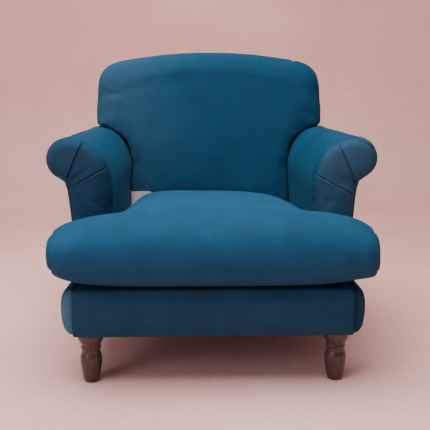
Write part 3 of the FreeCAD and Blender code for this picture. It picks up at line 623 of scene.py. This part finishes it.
def pleat_arm(obj, pleats, creases):
    """Two laid pleats on the arm front that gather at the neck, and pull lines between them."""
    pts = coords(obj)
    nrm = normals(obj)
    plan = np.stack([np.abs(pts[:, 0]), pts[:, 2]], axis=1)
    facing = np.clip((-nrm[:, 1] - 0.05) / 0.4, 0, 1)
    lift = np.zeros(len(pts))
    for (a, b), over in pleats:
        dist, side, run = near_segment(plan, a, b)
        inside = np.clip((0.045 - dist) / 0.02, 0, 1)
        lift += fold(0.0046, 0.020, dist, side, run, over) * inside
    for (a, b), deep, wide in creases:
        dist, side, run = near_segment(plan, a, b)
        fade = np.clip(run * 2.2, 0, 1) * np.clip((1.12 - run) * 5, 0, 1)
        lift -= deep * np.exp(-(dist / wide) ** 2) * fade
    gather = np.linalg.norm(plan - np.array(NECK), axis=1)
    lift -= 0.006 * np.exp(-(gather / 0.016) ** 2)
    set_coords(obj, pts + nrm * (lift * facing)[:, None])


def seam_groove(obj, where, depth, width):
    """Presses a stitched seam into the cover; where gives each point's distance to it."""
    pts = coords(obj)
    dent = depth * np.exp(-(where(pts) / width) ** 2)
    set_coords(obj, pts - normals(obj) * dent[:, None])


def twin(obj):
    """A separate copy of an object and its mesh."""
    other = obj.copy()
    other.data = obj.data.copy()
    SCENE.collection.objects.link(other)
    return other


def split_faces(obj, name, chosen):
    """Moves the faces picked by chosen(centres) into a new object."""
    count = len(obj.data.polygons)
    centre = np.empty(count * 3)
    obj.data.polygons.foreach_get("center", centre)
    pick = chosen(centre.reshape(-1, 3))
    other = twin(obj)
    other.name = name
    for target, drop in ((obj, pick), (other, ~pick)):
        bm = bmesh.new()
        bm.from_mesh(target.data)
        bm.faces.ensure_lookup_table()
        doomed = [bm.faces[i] for i in np.nonzero(drop)[0]]
        bmesh.ops.delete(bm, geom=doomed, context="FACES")
        bm.to_mesh(target.data)
        bm.free()
    return other


# pleats: ((from, to), side the lap lies on); creases: ((from, to), depth, width); |x| and z
LEFT_PLEATS = [(((0.340, 0.634), (0.388, 0.526)), -1), (((0.280, 0.557), (0.378, 0.504)), 1)]
RIGHT_PLEATS = [(((0.338, 0.612), (0.384, 0.510)), -1), (((0.279, 0.533), (0.379, 0.480)), 1)]
LEFT_CREASES = [(((0.352, 0.590), (0.386, 0.522)), 0.0016, 0.0030),
                (((0.322, 0.566), (0.382, 0.517)), 0.0018, 0.0035),
                (((0.338, 0.560), (0.384, 0.514)), 0.0014, 0.0025),
                (((0.305, 0.572), (0.380, 0.511)), 0.0012, 0.0040),
                (((0.366, 0.600), (0.391, 0.530)), 0.0010, 0.0030)]
RIGHT_CREASES = [(((0.343, 0.545), (0.383, 0.503)), 0.0020, 0.0035),
                 (((0.312, 0.552), (0.380, 0.496)), 0.0014, 0.0040),
                 (((0.330, 0.585), (0.372, 0.528)), 0.0014, 0.0035),
                 (((0.350, 0.560), (0.384, 0.508)), 0.0012, 0.0025)]
PLEAT_LINE = -0.285         # the mesh ahead of this y is finer, for the pleats
ARM_FOOT = 0.2575           # lowest height of the arm cloth
# short sewn line on the right roll: from, to
SLIT = ((0.392, 0.6285), (0.432, 0.606))


def swollen_arm():
    """Right arm, stuffed: the cloth swells everywhere but along its tacked edges."""
    obj = arm_rough(0.001, ARM_FOOT, 0.003)
    remesh(obj, FINE)
    relax(obj, 5)
    pts = coords(obj)
    outside = (pts[:, 0] > 0.365) & (pts[:, 2] < 0.515)
    tacked = (pts[:, 2] < 0.268) | (pts[:, 1] > rear_y(pts[:, 2]) - 0.020)
    inflate(obj, 3.0, 0.006, tacked | outside)
    relax(obj, 2)
    subdivide(obj)
    refine_front(obj, PLEAT_LINE)
    return obj


def soft_floor(values, limit, width=0.0012):
    """Holds values above a limit without leaving an edge."""
    return limit + width * np.logaddexp(0.0, (values - limit) / width)


def hold_arm_clear(pts, outward):
    """Keeps the inner face off the cushion and the outside face over the timber."""
    inner = np.interp(pts[:, 2], [0.42, 0.50], [0.2712, 0.2655])
    pts[:, 0] = soft_floor(pts[:, 0], inner)
    timber = np.interp(pts[:, 2], [0.226, 0.33, 0.42, 0.48, 0.52], [0.358, 0.362, 0.371, 0.378, 0.381])
    stump = outward & (pts[:, 2] < 0.522) & (pts[:, 1] > ARM_FRONT + 0.012)
    pts[:, 0] = np.where(stump, np.maximum(pts[:, 0], timber + 0.0035), pts[:, 0])


def make_arm(obj, side):
    right = side == "right"
    pleat_arm(obj, RIGHT_PLEATS if right else LEFT_PLEATS, RIGHT_CREASES if right else LEFT_CREASES)
    pts = coords(obj)
    nrm = normals(obj)
    sag = ripple(pts, 7.0, 4 if right else 9) * 0.0016 + ripple(pts, 19.0, 2 if right else 5) * 0.0006
    set_coords(obj, pts + nrm * sag[:, None])
    if right:
        def slit(p):
            dist, _, _ = near_segment(p[:, [0, 2]], *SLIT)
            return np.hypot(dist, np.clip(np.abs(p[:, 1] - ARM_FRONT - 0.016) - 0.004, 0, None))
        seam_groove(obj, slit, 0.005, 0.0032)

    def panel_edge(p):
        dist, _, _ = near_segment(p[:, [0, 2]], (0.382, 0.514), (0.395, 0.517))
        along = np.abs(p[:, 1] - (ARM_FRONT + 0.018))
        front = np.where((p[:, 2] < 0.514) & (p[:, 0] > 0.355), along, 1.0)
        return np.minimum(np.where(p[:, 1] > ARM_FRONT + 0.018, dist, 1.0), front)
    seam_groove(obj, panel_edge, 0.0022, 0.0045)
    outward = normals(obj)[:, 0] > 0.3
    pts = coords(obj)
    hold_arm_clear(pts, outward)
    if not right:
        pts[:, 0] *= -1
    set_coords(obj, pts)
    if not right:
        obj.data.flip_normals()
    obj.name = side + "_arm_velvet"

    def is_panel(c):
        return (np.abs(c[:, 0]) > 0.345) & (c[:, 2] < 0.514) & (c[:, 1] > ARM_FRONT + 0.018)
    panel = split_faces(obj, side + "_outside_arm_velvet", is_panel)
    for piece in (obj, panel):
        # each arm takes its own velvet copy, with its own painted light
        paint(piece, VELVET_ARM_RIGHT if right else VELVET_ARM_LEFT)
        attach(piece, "chair_frame")
    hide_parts(side + "_arm_padding", side + "_inside_arm_cover")
    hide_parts(side + "_outside_arm_cover")


# ================================================================== back
# (x, height of the arch) along the top of the back, and how far the front edge turns away
BACK_ARCH = [(0, 878, 0), (70, 876.5, 0), (145, 872, 0), (218, 862.5, 0), (267, 855.5, 0), (300, 850, 1),
             (325, 843, 4), (346, 833, 9), (362, 820, 17), (373, 804, 28), (379, 786, 40)]
BACK_FOOT_Y, BACK_FOOT_Z = 0.240, 0.256     # foot of the inside face
BACK_START = 0.257                          # lowest point of a section
BACK_RAKE = 0.2126                          # how far the inside face leans back for each metre up
BACK_PUFF = 0.010
# soft pull lines and dents in the inside back: (from, to, depth, width)
BACK_DENTS = [((-0.33, 0.742), (-0.18, 0.768), 0.0016, 0.016),
              ((-0.350, 0.738), (-0.295, 0.735), 0.0026, 0.011),
              ((-0.235, 0.560), (-0.262, 0.430), 0.0035, 0.016),
              ((0.250, 0.520), (0.262, 0.420), 0.0030, 0.014),
              ((0.330, 0.690), (0.375, 0.640), 0.0040, 0.014),
              ((-0.34, 0.70), (-0.385, 0.645), 0.0030, 0.016)]


def tucked(z):
    """Narrows the back behind the arms, so that nothing stands out past them."""
    return float(np.interp(z, [0.50, 0.58], [0.83, 1.0]))


def back_rough(inset):
    """Closed rough form of the padded back, from side to side."""
    rings = []
    stations = [(-x, t, d) for x, t, d in reversed(BACK_ARCH[1:])] + BACK_ARCH
    scale = (BACK_HALF - inset) / (BACK_ARCH[-1][0] * MM)
    for x, top, turn in stations:
        top, turn = top * MM - inset, turn * MM
        x = x * MM * scale
        section = []
        for z in np.linspace(BACK_START, top - 0.085, 26):
            swell = math.sin(math.pi * min(1.0, max(0.0, (z - 0.29) / 0.54)))
            puff = BACK_PUFF * swell * (1 - (x / BACK_HALF) ** 2)
            section.append((BACK_FOOT_Y + inset + BACK_RAKE * (z - BACK_FOOT_Z) - puff + turn, z))
        y0, z0 = section[-1]
        y1 = rear_y(top - 0.05) - 0.004 - inset
        reach = 0.5 * (y1 - y0)
        for a in np.linspace(0, math.pi, 15)[1:-1]:
            c, s = math.cos(a), math.sin(a)
            y = y0 + reach - reach * math.copysign(abs(c) ** 0.92, c)
            section.append((y + 0.012 * s, z0 + (top - z0) * abs(s) ** 0.80))
        for z in np.linspace(top - 0.06, BACK_START, 20):
            section.append((rear_y(z) - 0.004 - inset, z))
        spread = 1.0 + 0.018 * (abs(x) / BACK_HALF) ** 4
        rings.append([(x * (1.0 + (spread - 1.0) * math.exp(-((z - 0.67) / 0.09) ** 2)) * tucked(z), y, z)
                      for y, z in section])
    return skin("back", rings)


def make_back(arm_forms):
    obj = back_rough(-0.003)
    for form in arm_forms:
        subtract(obj, form)
    remesh(obj, COARSE)
    relax(obj, 5)
    pts = coords(obj)
    pinned = (pts[:, 1] > rear_y(pts[:, 2]) - 0.012) | (pts[:, 2] < 0.395)
    inflate(obj, 2.0, 0.005, pinned)
    relax(obj, 4)
    subdivide(obj)
    pts = coords(obj)
    nrm = normals(obj)
    facing = np.clip(-nrm[:, 1], 0, 1)
    lift = ripple(pts, 4.5, 1) * 0.0030 + ripple(pts, 13.0, 7) * 0.0009
    plan = pts[:, [0, 2]]
    for a, b, deep, wide in BACK_DENTS:
        dist, _, run = near_segment(plan, a, b)
        lift -= deep * np.exp(-(dist / wide) ** 2) * np.clip(1.2 - np.abs(run - 0.5) * 1.6, 0, 1)
    lift *= np.clip((pts[:, 2] - 0.37) / 0.06, 0, 1)
    set_coords(obj, pts + nrm * (lift * facing)[:, None])

    def tuck(p):
        dist, _, _ = near_segment(p[:, [0, 2]], (0.290, 0.868), (0.297, 0.846))
        return np.hypot(dist, np.clip(0.40 - p[:, 1], 0, 0.03))
    seam_groove(obj, tuck, 0.006, 0.004)
    obj.name = "inside_back_velvet"

    def below_velvet(c):
        drop = np.clip((c[:, 0] + 0.205) / 0.05, 0, 1)
        seam = 0.411 - 0.041 * drop * drop * (3 - 2 * drop)
        return (c[:, 2] < seam) & (c[:, 1] < rear_y(c[:, 2]) - 0.05)
    lining = split_faces(obj, "inside_back_lining", below_velvet)
    paint(obj, VELVET_BACK)
    lining.data.materials.clear()
    paint(lining, LINING)
    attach(obj, "chair_frame")
    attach(lining, "chair_frame")
    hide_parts("inside_back_padding", "inside_back_cover")
    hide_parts("inside_back_fly")


# ================================================================== base borders
def border_rings(depth, length_points, inset):
    """Rings of a padded border standing on the XZ plane x = 0, along Y."""
    height = BASE_TOP - BASE_Z
    shape = [(0, 1.0), (0.5, 0.985), (0.88, 0.87), (1.0, 0.64),
             (0.975, 0.38), (0.82, 0.15), (0.45, 0.02), (0, 0)]
    line = smooth_line(np.array([(depth * a, BASE_Z + height * b) for a, b in shape]), 40)
    toward = inward(line)
    rings = []
    for y, shrink in length_points:
        ring = line + toward * (shrink + inset)
        ring[0] = (-0.006, BASE_TOP - inset)
        ring[-1] = (-0.006, BASE_Z + inset)
        rings.append([(x, y, z) for x, z in ring])
    return rings


def fit_height(points):
    """Stretches a border back to the full height of the base after smoothing."""
    low, high = points[:, 2].min(), points[:, 2].max()
    points[:, 2] = BASE_Z - 0.0005 + (points[:, 2] - low) * (BASE_TOP + 0.001 - BASE_Z) / (high - low)


def swollen_side_border():
    start = SIDE_LOW.y + 0.002
    steps = []
    for t in (0.0, 0.05, 0.16, 0.34, 0.6, 1.0):
        steps.append((start + 0.018 * t, 0.018 * (1 - math.sqrt(1 - (1 - t) ** 2))))
    steps += [(y, 0.0) for y in np.linspace(-0.36, 0.378, 10)]
    obj = skin("border", border_rings(SIDE_HIGH.x - SIDE_LOW.x, steps, 0.001))
    remesh(obj, FINE)
    relax(obj, 3)
    inflate(obj, 3.0, 0.004, coords(obj)[:, 0] < 0.004)
    subdivide(obj)
    return obj


def make_side_border(obj, side):
    pts = coords(obj)
    seed = 11 if side == "right" else 17
    wave = ripple(pts, 16.0, seed) * 0.0010 + ripple(pts, 5.0, seed + 3) * 0.0015
    pts = pts + normals(obj) * wave[:, None]
    pts[:, 0] += SIDE_LOW.x
    fit_height(pts)
    if side == "left":
        pts[:, 0] *= -1
    set_coords(obj, pts)
    if side == "left":
        obj.data.flip_normals()
    border = side + "_side_border_"
    dress_border(obj, border + "velvet", border + "padding", border + "cover")


def make_front_border():
    half = BASE_HIGH.x - 0.002
    steps = []
    for t in (0.0, 0.2, 0.6, 1.0):
        steps.append((-half + 0.005 * t, 0.005 * (1 - math.sqrt(1 - (1 - t) ** 2))))
    steps += [(-y, s) for y, s in reversed(steps)]
    obj = skin("border", border_rings(BASE_HIGH.y - BASE_LOW.y, steps, 0.0015))
    remesh(obj, FINE)
    relax(obj, 2)
    inflate(obj, 2.0, 0.003, coords(obj)[:, 0] < 0.004)
    subdivide(obj)
    pts = coords(obj)
    nrm = normals(obj)
    wave = ripple(pts, 9.0, 21) * 0.0014 + ripple(pts, 24.0, 13) * 0.0006
    pts = pts + nrm * wave[:, None]
    turned = np.stack([pts[:, 1], BASE_HIGH.y - pts[:, 0], pts[:, 2]], axis=1)
    fit_height(turned)
    set_coords(obj, turned)
    dress_border(obj, "front_border_velvet", "front_border_padding", "front_border_cover")


def dress_border(obj, name, *nodes):
    obj.name = name
    # the left borders take the velvet copy with painted light from the left
    paint(obj, VELVET_BASE_LEFT if name.startswith("left") else VELVET_BASE)
    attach(obj, "chair_frame")
    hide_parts(*nodes)


# ================================================================== outside back
def thick_grid(name, columns, rows, point):
    """Cloth with its own thickness; point(layer, u, v) places a grid point, u and v from 0 to 1."""
    stride = columns + 1
    base = stride * (rows + 1)
    verts = [point(layer, i / columns, j / rows)
             for layer in (0, 1) for j in range(rows + 1) for i in range(stride)]
    faces = []
    for layer in (0, 1):
        for j in range(rows):
            for i in range(columns):
                a = layer * base + j * stride + i
                faces.append((a, a + 1, a + stride + 1, a + stride))
    for i in range(columns):
        for a in (i, rows * stride + i):
            faces.append((a, a + 1, base + a + 1, base + a))
    for j in range(rows):
        for a in (j * stride, j * stride + columns):
            faces.append((a, a + stride, base + a + stride, base + a))
    return new_object(name, verts, faces)


PANEL_THICK = 0.0040
PANEL_ROUND = 0.012         # width of the rounded rim
PANEL_TAPER = 0.012         # how much narrower the panel is at its foot, at each side
PANEL_DROP = 0.026          # the panel's top edge below the arch


def make_outside_back():
    """Taut flat panel over the rear of the frame, hand-sewn round its edge."""
    half = PANEL_HIGH.x
    foot_half = half - PANEL_TAPER
    arch_x = np.array([a[0] for a in BACK_ARCH]) * MM
    arch_z = np.array([a[1] for a in BACK_ARCH]) * MM - PANEL_DROP

    def point(layer, u, v):
        wide = foot_half + (half - foot_half) * min(1.0, v * 1.25)
        x = (2 * u - 1) * wide
        top = float(np.interp(abs(x), arch_x, arch_z))
        z = PANEL_LOW.z + (top - PANEL_LOW.z) * v
        rim = min(1.0, min(wide - abs(x), z - PANEL_LOW.z, top - z) / PANEL_ROUND)
        soft = math.sqrt(max(0.0, 1 - (1 - max(0.0, rim)) ** 2))
        slack = (0.0004 + 0.0010 * noise.noise(Vector((x * 6, 3.0, z * 6)))) * soft
        y = rear_y(z) - PANEL_THICK
        if layer:
            y += PANEL_THICK * soft + slack - 0.0006
        return (x, y, z)

    obj = thick_grid("outside_back_velvet", 150, 150, point)
    for poly in obj.data.polygons:
        poly.use_smooth = True
    paint(obj, VELVET_TOP)
    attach(obj, "chair_frame")
    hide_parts("outside_back_cover", "outside_back_wadding")


# ================================================================== seat cushion
# (y, half width, lowest z, highest z, squareness): the part between the arms, then the wide nose
SEAT_BODY = [(234, 205, 314, 358, 2.3), (232, 227, 298, 378, 2.4), (223, 245, 280, 394, 2.5),
             (198, 258, 265, 408, 2.7), (140, 264, 261, 424, 3.3), (30, 265.5, 260, 440, 4.2),
             (-110, 265.5, 260, 452, 5.4), (-250, 265.5, 260, 458, 6.8), (-340, 265.5, 262, 453, 8.0),
             (-385, 262, 272, 441, 8.0)]
SEAT_NOSE = [(-322, 393, 298, 409, 2.9), (-324, 411, 280, 431, 3.0), (-332, 424, 268, 446, 3.1),
             (-350, 431, 262, 454, 3.1), (-376, 434, 259, 456, 3.1), (-404, 431, 260, 448, 3.0),
             (-430, 424, 265, 431, 3.0), (-451, 413, 275, 409, 2.9), (-463, 399, 291, 387, 2.8),
             (-468, 380, 311, 363, 2.6)]
SEAT_MIDDLE = 0.345
CROWN_HALF, CROWN_POWER = 0.434, 3.1
SEAM_X = 0.418              # end seams of the nose, out from the middle


def crown(x):
    """How far the top of the seat has kept its height, x out from the middle."""
    return max(0.0, 1.0 - min(1.0, abs(x) / CROWN_HALF) ** CROWN_POWER) ** (1.0 / CROWN_POWER)


def seat_rings(stations, crowned):
    """Pillow sections from rear to front."""
    rings = []
    for y, wide, low, high, square in stations:
        y, wide, low, high = y * MM, wide * MM, low * MM, high * MM
        ring = []
        for i in range(120):
            a = 2 * math.pi * i / 120
            c, s = math.cos(a), math.sin(a)
            power = square if s > 0 else 4.2
            reach = high - SEAT_MIDDLE if s > 0 else SEAT_MIDDLE - low
            x = wide * math.copysign(abs(c) ** (2 / power), c)
            if s > 0 and crowned:
                reach *= crown(x)
            ring.append((x, y, SEAT_MIDDLE + reach * math.copysign(abs(s) ** (2 / power), s)))
        rings.append(ring)
    return rings


def make_cushion():
    """Loose feather-wrapped cushion: a crowned T that wraps round in front of the arms."""
    body = skin("cushion", seat_rings(SEAT_BODY, True))
    nose = skin("nose", seat_rings(SEAT_NOSE, False))
    merge = bmesh.new()
    for part in (body, nose):
        merge.from_mesh(part.data)
    merge.to_mesh(body.data)
    merge.free()
    bpy.data.objects.remove(nose)
    remesh(body, COARSE)
    relax(body, 7)
    inflate(body, 4.0, 0.009, coords(body)[:, 2] < 0.262)
    relax(body, 3)
    subdivide(body)
    shape_cushion(body)
    body.name = "seat_cushion_velvet"
    paint(body, VELVET_SEAT)
    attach(body, "seat_cushion")
    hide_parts("cushion_cover", "cushion_feather_jacket")


def shape_cushion(obj):
    """Feather hollows, end seams with gathered cloth, and room kept from the arms and back."""
    pts = coords(obj)
    nrm = normals(obj)
    upper = np.clip(nrm[:, 2] * 0.6 + 0.6, 0, 1)
    lift = (ripple(pts, 4.2, 31) * 0.0040 + ripple(pts, 12.0, 37) * 0.0011) * upper
    across = np.abs(pts[:, 0])
    around = np.arctan2(pts[:, 2] - 0.355, pts[:, 1] + 0.40)
    in_nose = np.clip((-0.322 - pts[:, 1]) / 0.012, 0, 1)
    seam = np.abs(across - SEAM_X)
    lift -= 0.0042 * np.exp(-(seam / 0.0036) ** 2) * in_nose
    gathers = np.sin(around * 26 + 2.4 * np.sin(around * 5 + 0.8)) * (0.55 + 0.45 * np.sin(around * 7 + 1))
    inner = np.exp(-np.clip(SEAM_X - across, 0, None) / 0.013) * (across < SEAM_X + 0.002)
    lift += 0.0015 * gathers * inner * in_nose
    dimple = np.linalg.norm(pts - np.array([-0.412, -0.440, 0.318]), axis=1)
    lift -= 0.008 * np.exp(-(dimple / 0.016) ** 2)
    pts = pts + nrm * lift[:, None]
    behind = np.clip((pts[:, 1] + 0.30) / 0.3, 0, 1) * np.clip((pts[:, 2] - 0.33) / 0.06, 0, 1)
    pts[:, 2] -= 0.045 * np.clip(pts[:, 0], 0, None) * behind
    square = np.exp(-((pts[:, 0] - 0.420) / 0.035) ** 2 - ((pts[:, 2] - 0.298) / 0.032) ** 2) * in_nose
    pts += square[:, None] * np.array([0.005, 0.0, -0.010])
    between = np.clip((pts[:, 1] + 0.312) / 0.01, 0, 1)
    limit = 0.2675 * between + 0.445 * (1 - between)
    pts[:, 0] = np.clip(pts[:, 0], -limit, limit)
    pts[:, 1] = np.where((across > 0.266) & (pts[:, 1] > -0.3175) & (pts[:, 1] < -0.30),
                         -0.3175, pts[:, 1])
    pts[:, 1] = np.clip(pts[:, 1], SEAT_FRONT - 0.003, 0.2362)
    pts[:, 2] = np.clip(pts[:, 2], 0.2556, None)
    set_coords(obj, pts)


# ================================================================== seat platform
PLATFORM_THICK = 0.0015
LIP_REAR = -0.320           # where the velvet lip is sewn to the lining
LINING_HALF = 0.268


def flat_sheet(name, xs, ys, z):
    """Cloth laid flat between the given x and y lines."""
    def point(layer, u, v):
        return (xs[0] + (xs[1] - xs[0]) * u, ys[0] + (ys[1] - ys[0]) * v, z + layer * PLATFORM_THICK)
    return thick_grid(name, 80, 60, point)


def make_platform():
    """Velvet lip over the front of the seat, calico lining over the rest."""
    low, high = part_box("seat_platform_cloth")
    front_y = BASE_HIGH.y + 0.0006
    lip = flat_sheet("platform_velvet_lip", (low.x, high.x), (front_y, LIP_REAR), low.z)
    paint(lip, VELVET_BASE)
    seam_y = LIP_REAR + 0.0005
    lining = flat_sheet("platform_lining", (-LINING_HALF, LINING_HALF), (seam_y, high.y), low.z)
    paint(lining, LINING)
    for piece, slot in ((lip, "velvet"), (lining, "platform_lining")):
        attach(piece, "chair_frame")
        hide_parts("seat_platform_cloth")


# ================================================================== floor, light, camera
def make_stage():
    mesh = bpy.data.meshes.new("floor")
    edge, rise, bend = 6.0, 4.0, 0.8
    profile = [(-edge, 0.0), (2.2, 0.0)]
    for k in range(1, 13):
        a = math.pi / 2 * k / 12
        profile.append((2.2 + bend * math.sin(a), bend * (1 - math.cos(a))))
    profile.append((2.2 + bend, rise))
    verts = [(x, y, z) for y, z in profile for x in (-edge, edge)]
    faces = [(2 * i, 2 * i + 1, 2 * i + 3, 2 * i + 2) for i in range(len(profile) - 1)]
    mesh.from_pydata(verts, [], faces)
    floor = bpy.data.objects.new("floor", mesh)
    SCENE.collection.objects.link(floor)
    paint(floor, concrete("pale concrete"))


def area_light(name, place, target, size, watts, colour):
    lamp = bpy.data.lights.new(name, "AREA")
    lamp.shape = "RECTANGLE"
    lamp.size, lamp.size_y = size
    lamp.energy = watts
    lamp.color = colour
    obj = bpy.data.objects.new(name, lamp)
    obj.location = place
    obj.rotation_euler = (Vector(target) - Vector(place)).to_track_quat("-Z", "Y").to_euler()
    SCENE.collection.objects.link(obj)


def make_lights():
    area_light("overhead", (-0.3, -0.3, 3.0), (0, 0, 0.4), (3.0, 2.6), 168.0, (1.0, 0.98, 0.96))
    area_light("left fill", (-2.6, -3.0, 1.7), (0, 0, 0.4), (1.8, 1.6), 42.0, (0.95, 0.97, 1.0))
    world = bpy.data.worlds.new("studio")
    world.use_nodes = True
    world.node_tree.nodes["Background"].inputs["Color"].default_value = (0.95, 0.97, 1.0, 1.0)
    world.node_tree.nodes["Background"].inputs["Strength"].default_value = 0.17
    SCENE.world = world


CAMERA_PLACE = (-0.0364, -2.3248, 0.7882)
CAMERA_YAW, CAMERA_PITCH, CAMERA_ROLL = -1.20, 10.06, -0.09
CAMERA_LENS = 64.3


def make_camera():
    data = bpy.data.cameras.new("camera")
    data.lens = CAMERA_LENS
    data.sensor_width = 36.0
    data.clip_end = 50.0
    camera = bpy.data.objects.new("camera", data)
    turn = (Matrix.Rotation(math.radians(CAMERA_YAW), 4, "Z")
            @ Matrix.Rotation(math.radians(90.0 - CAMERA_PITCH), 4, "X")
            @ Matrix.Rotation(math.radians(CAMERA_ROLL), 4, "Z"))
    camera.matrix_world = Matrix.Translation(CAMERA_PLACE) @ turn
    SCENE.collection.objects.link(camera)
    SCENE.camera = camera


# ================================================================== build
def build():
    finish_nodes()
    right_arm = swollen_arm()
    left_arm = twin(right_arm)
    make_arm(right_arm, "right")
    make_arm(left_arm, "left")
    cutters = [arm_rough(-0.0015, 0.200, -0.02)]
    mirror = twin(cutters[0])
    mirror.data.transform(Matrix.Scale(-1, 4, (1, 0, 0)))
    mirror.data.flip_normals()
    cutters.append(mirror)
    make_back(cutters)
    for form in cutters:
        bpy.data.objects.remove(form)
    right_border = swollen_side_border()
    left_border = twin(right_border)
    make_side_border(right_border, "right")
    make_side_border(left_border, "left")
    make_front_border()
    make_outside_back()
    make_platform()
    make_cushion()
    make_stage()
    make_lights()
    make_camera()


build()
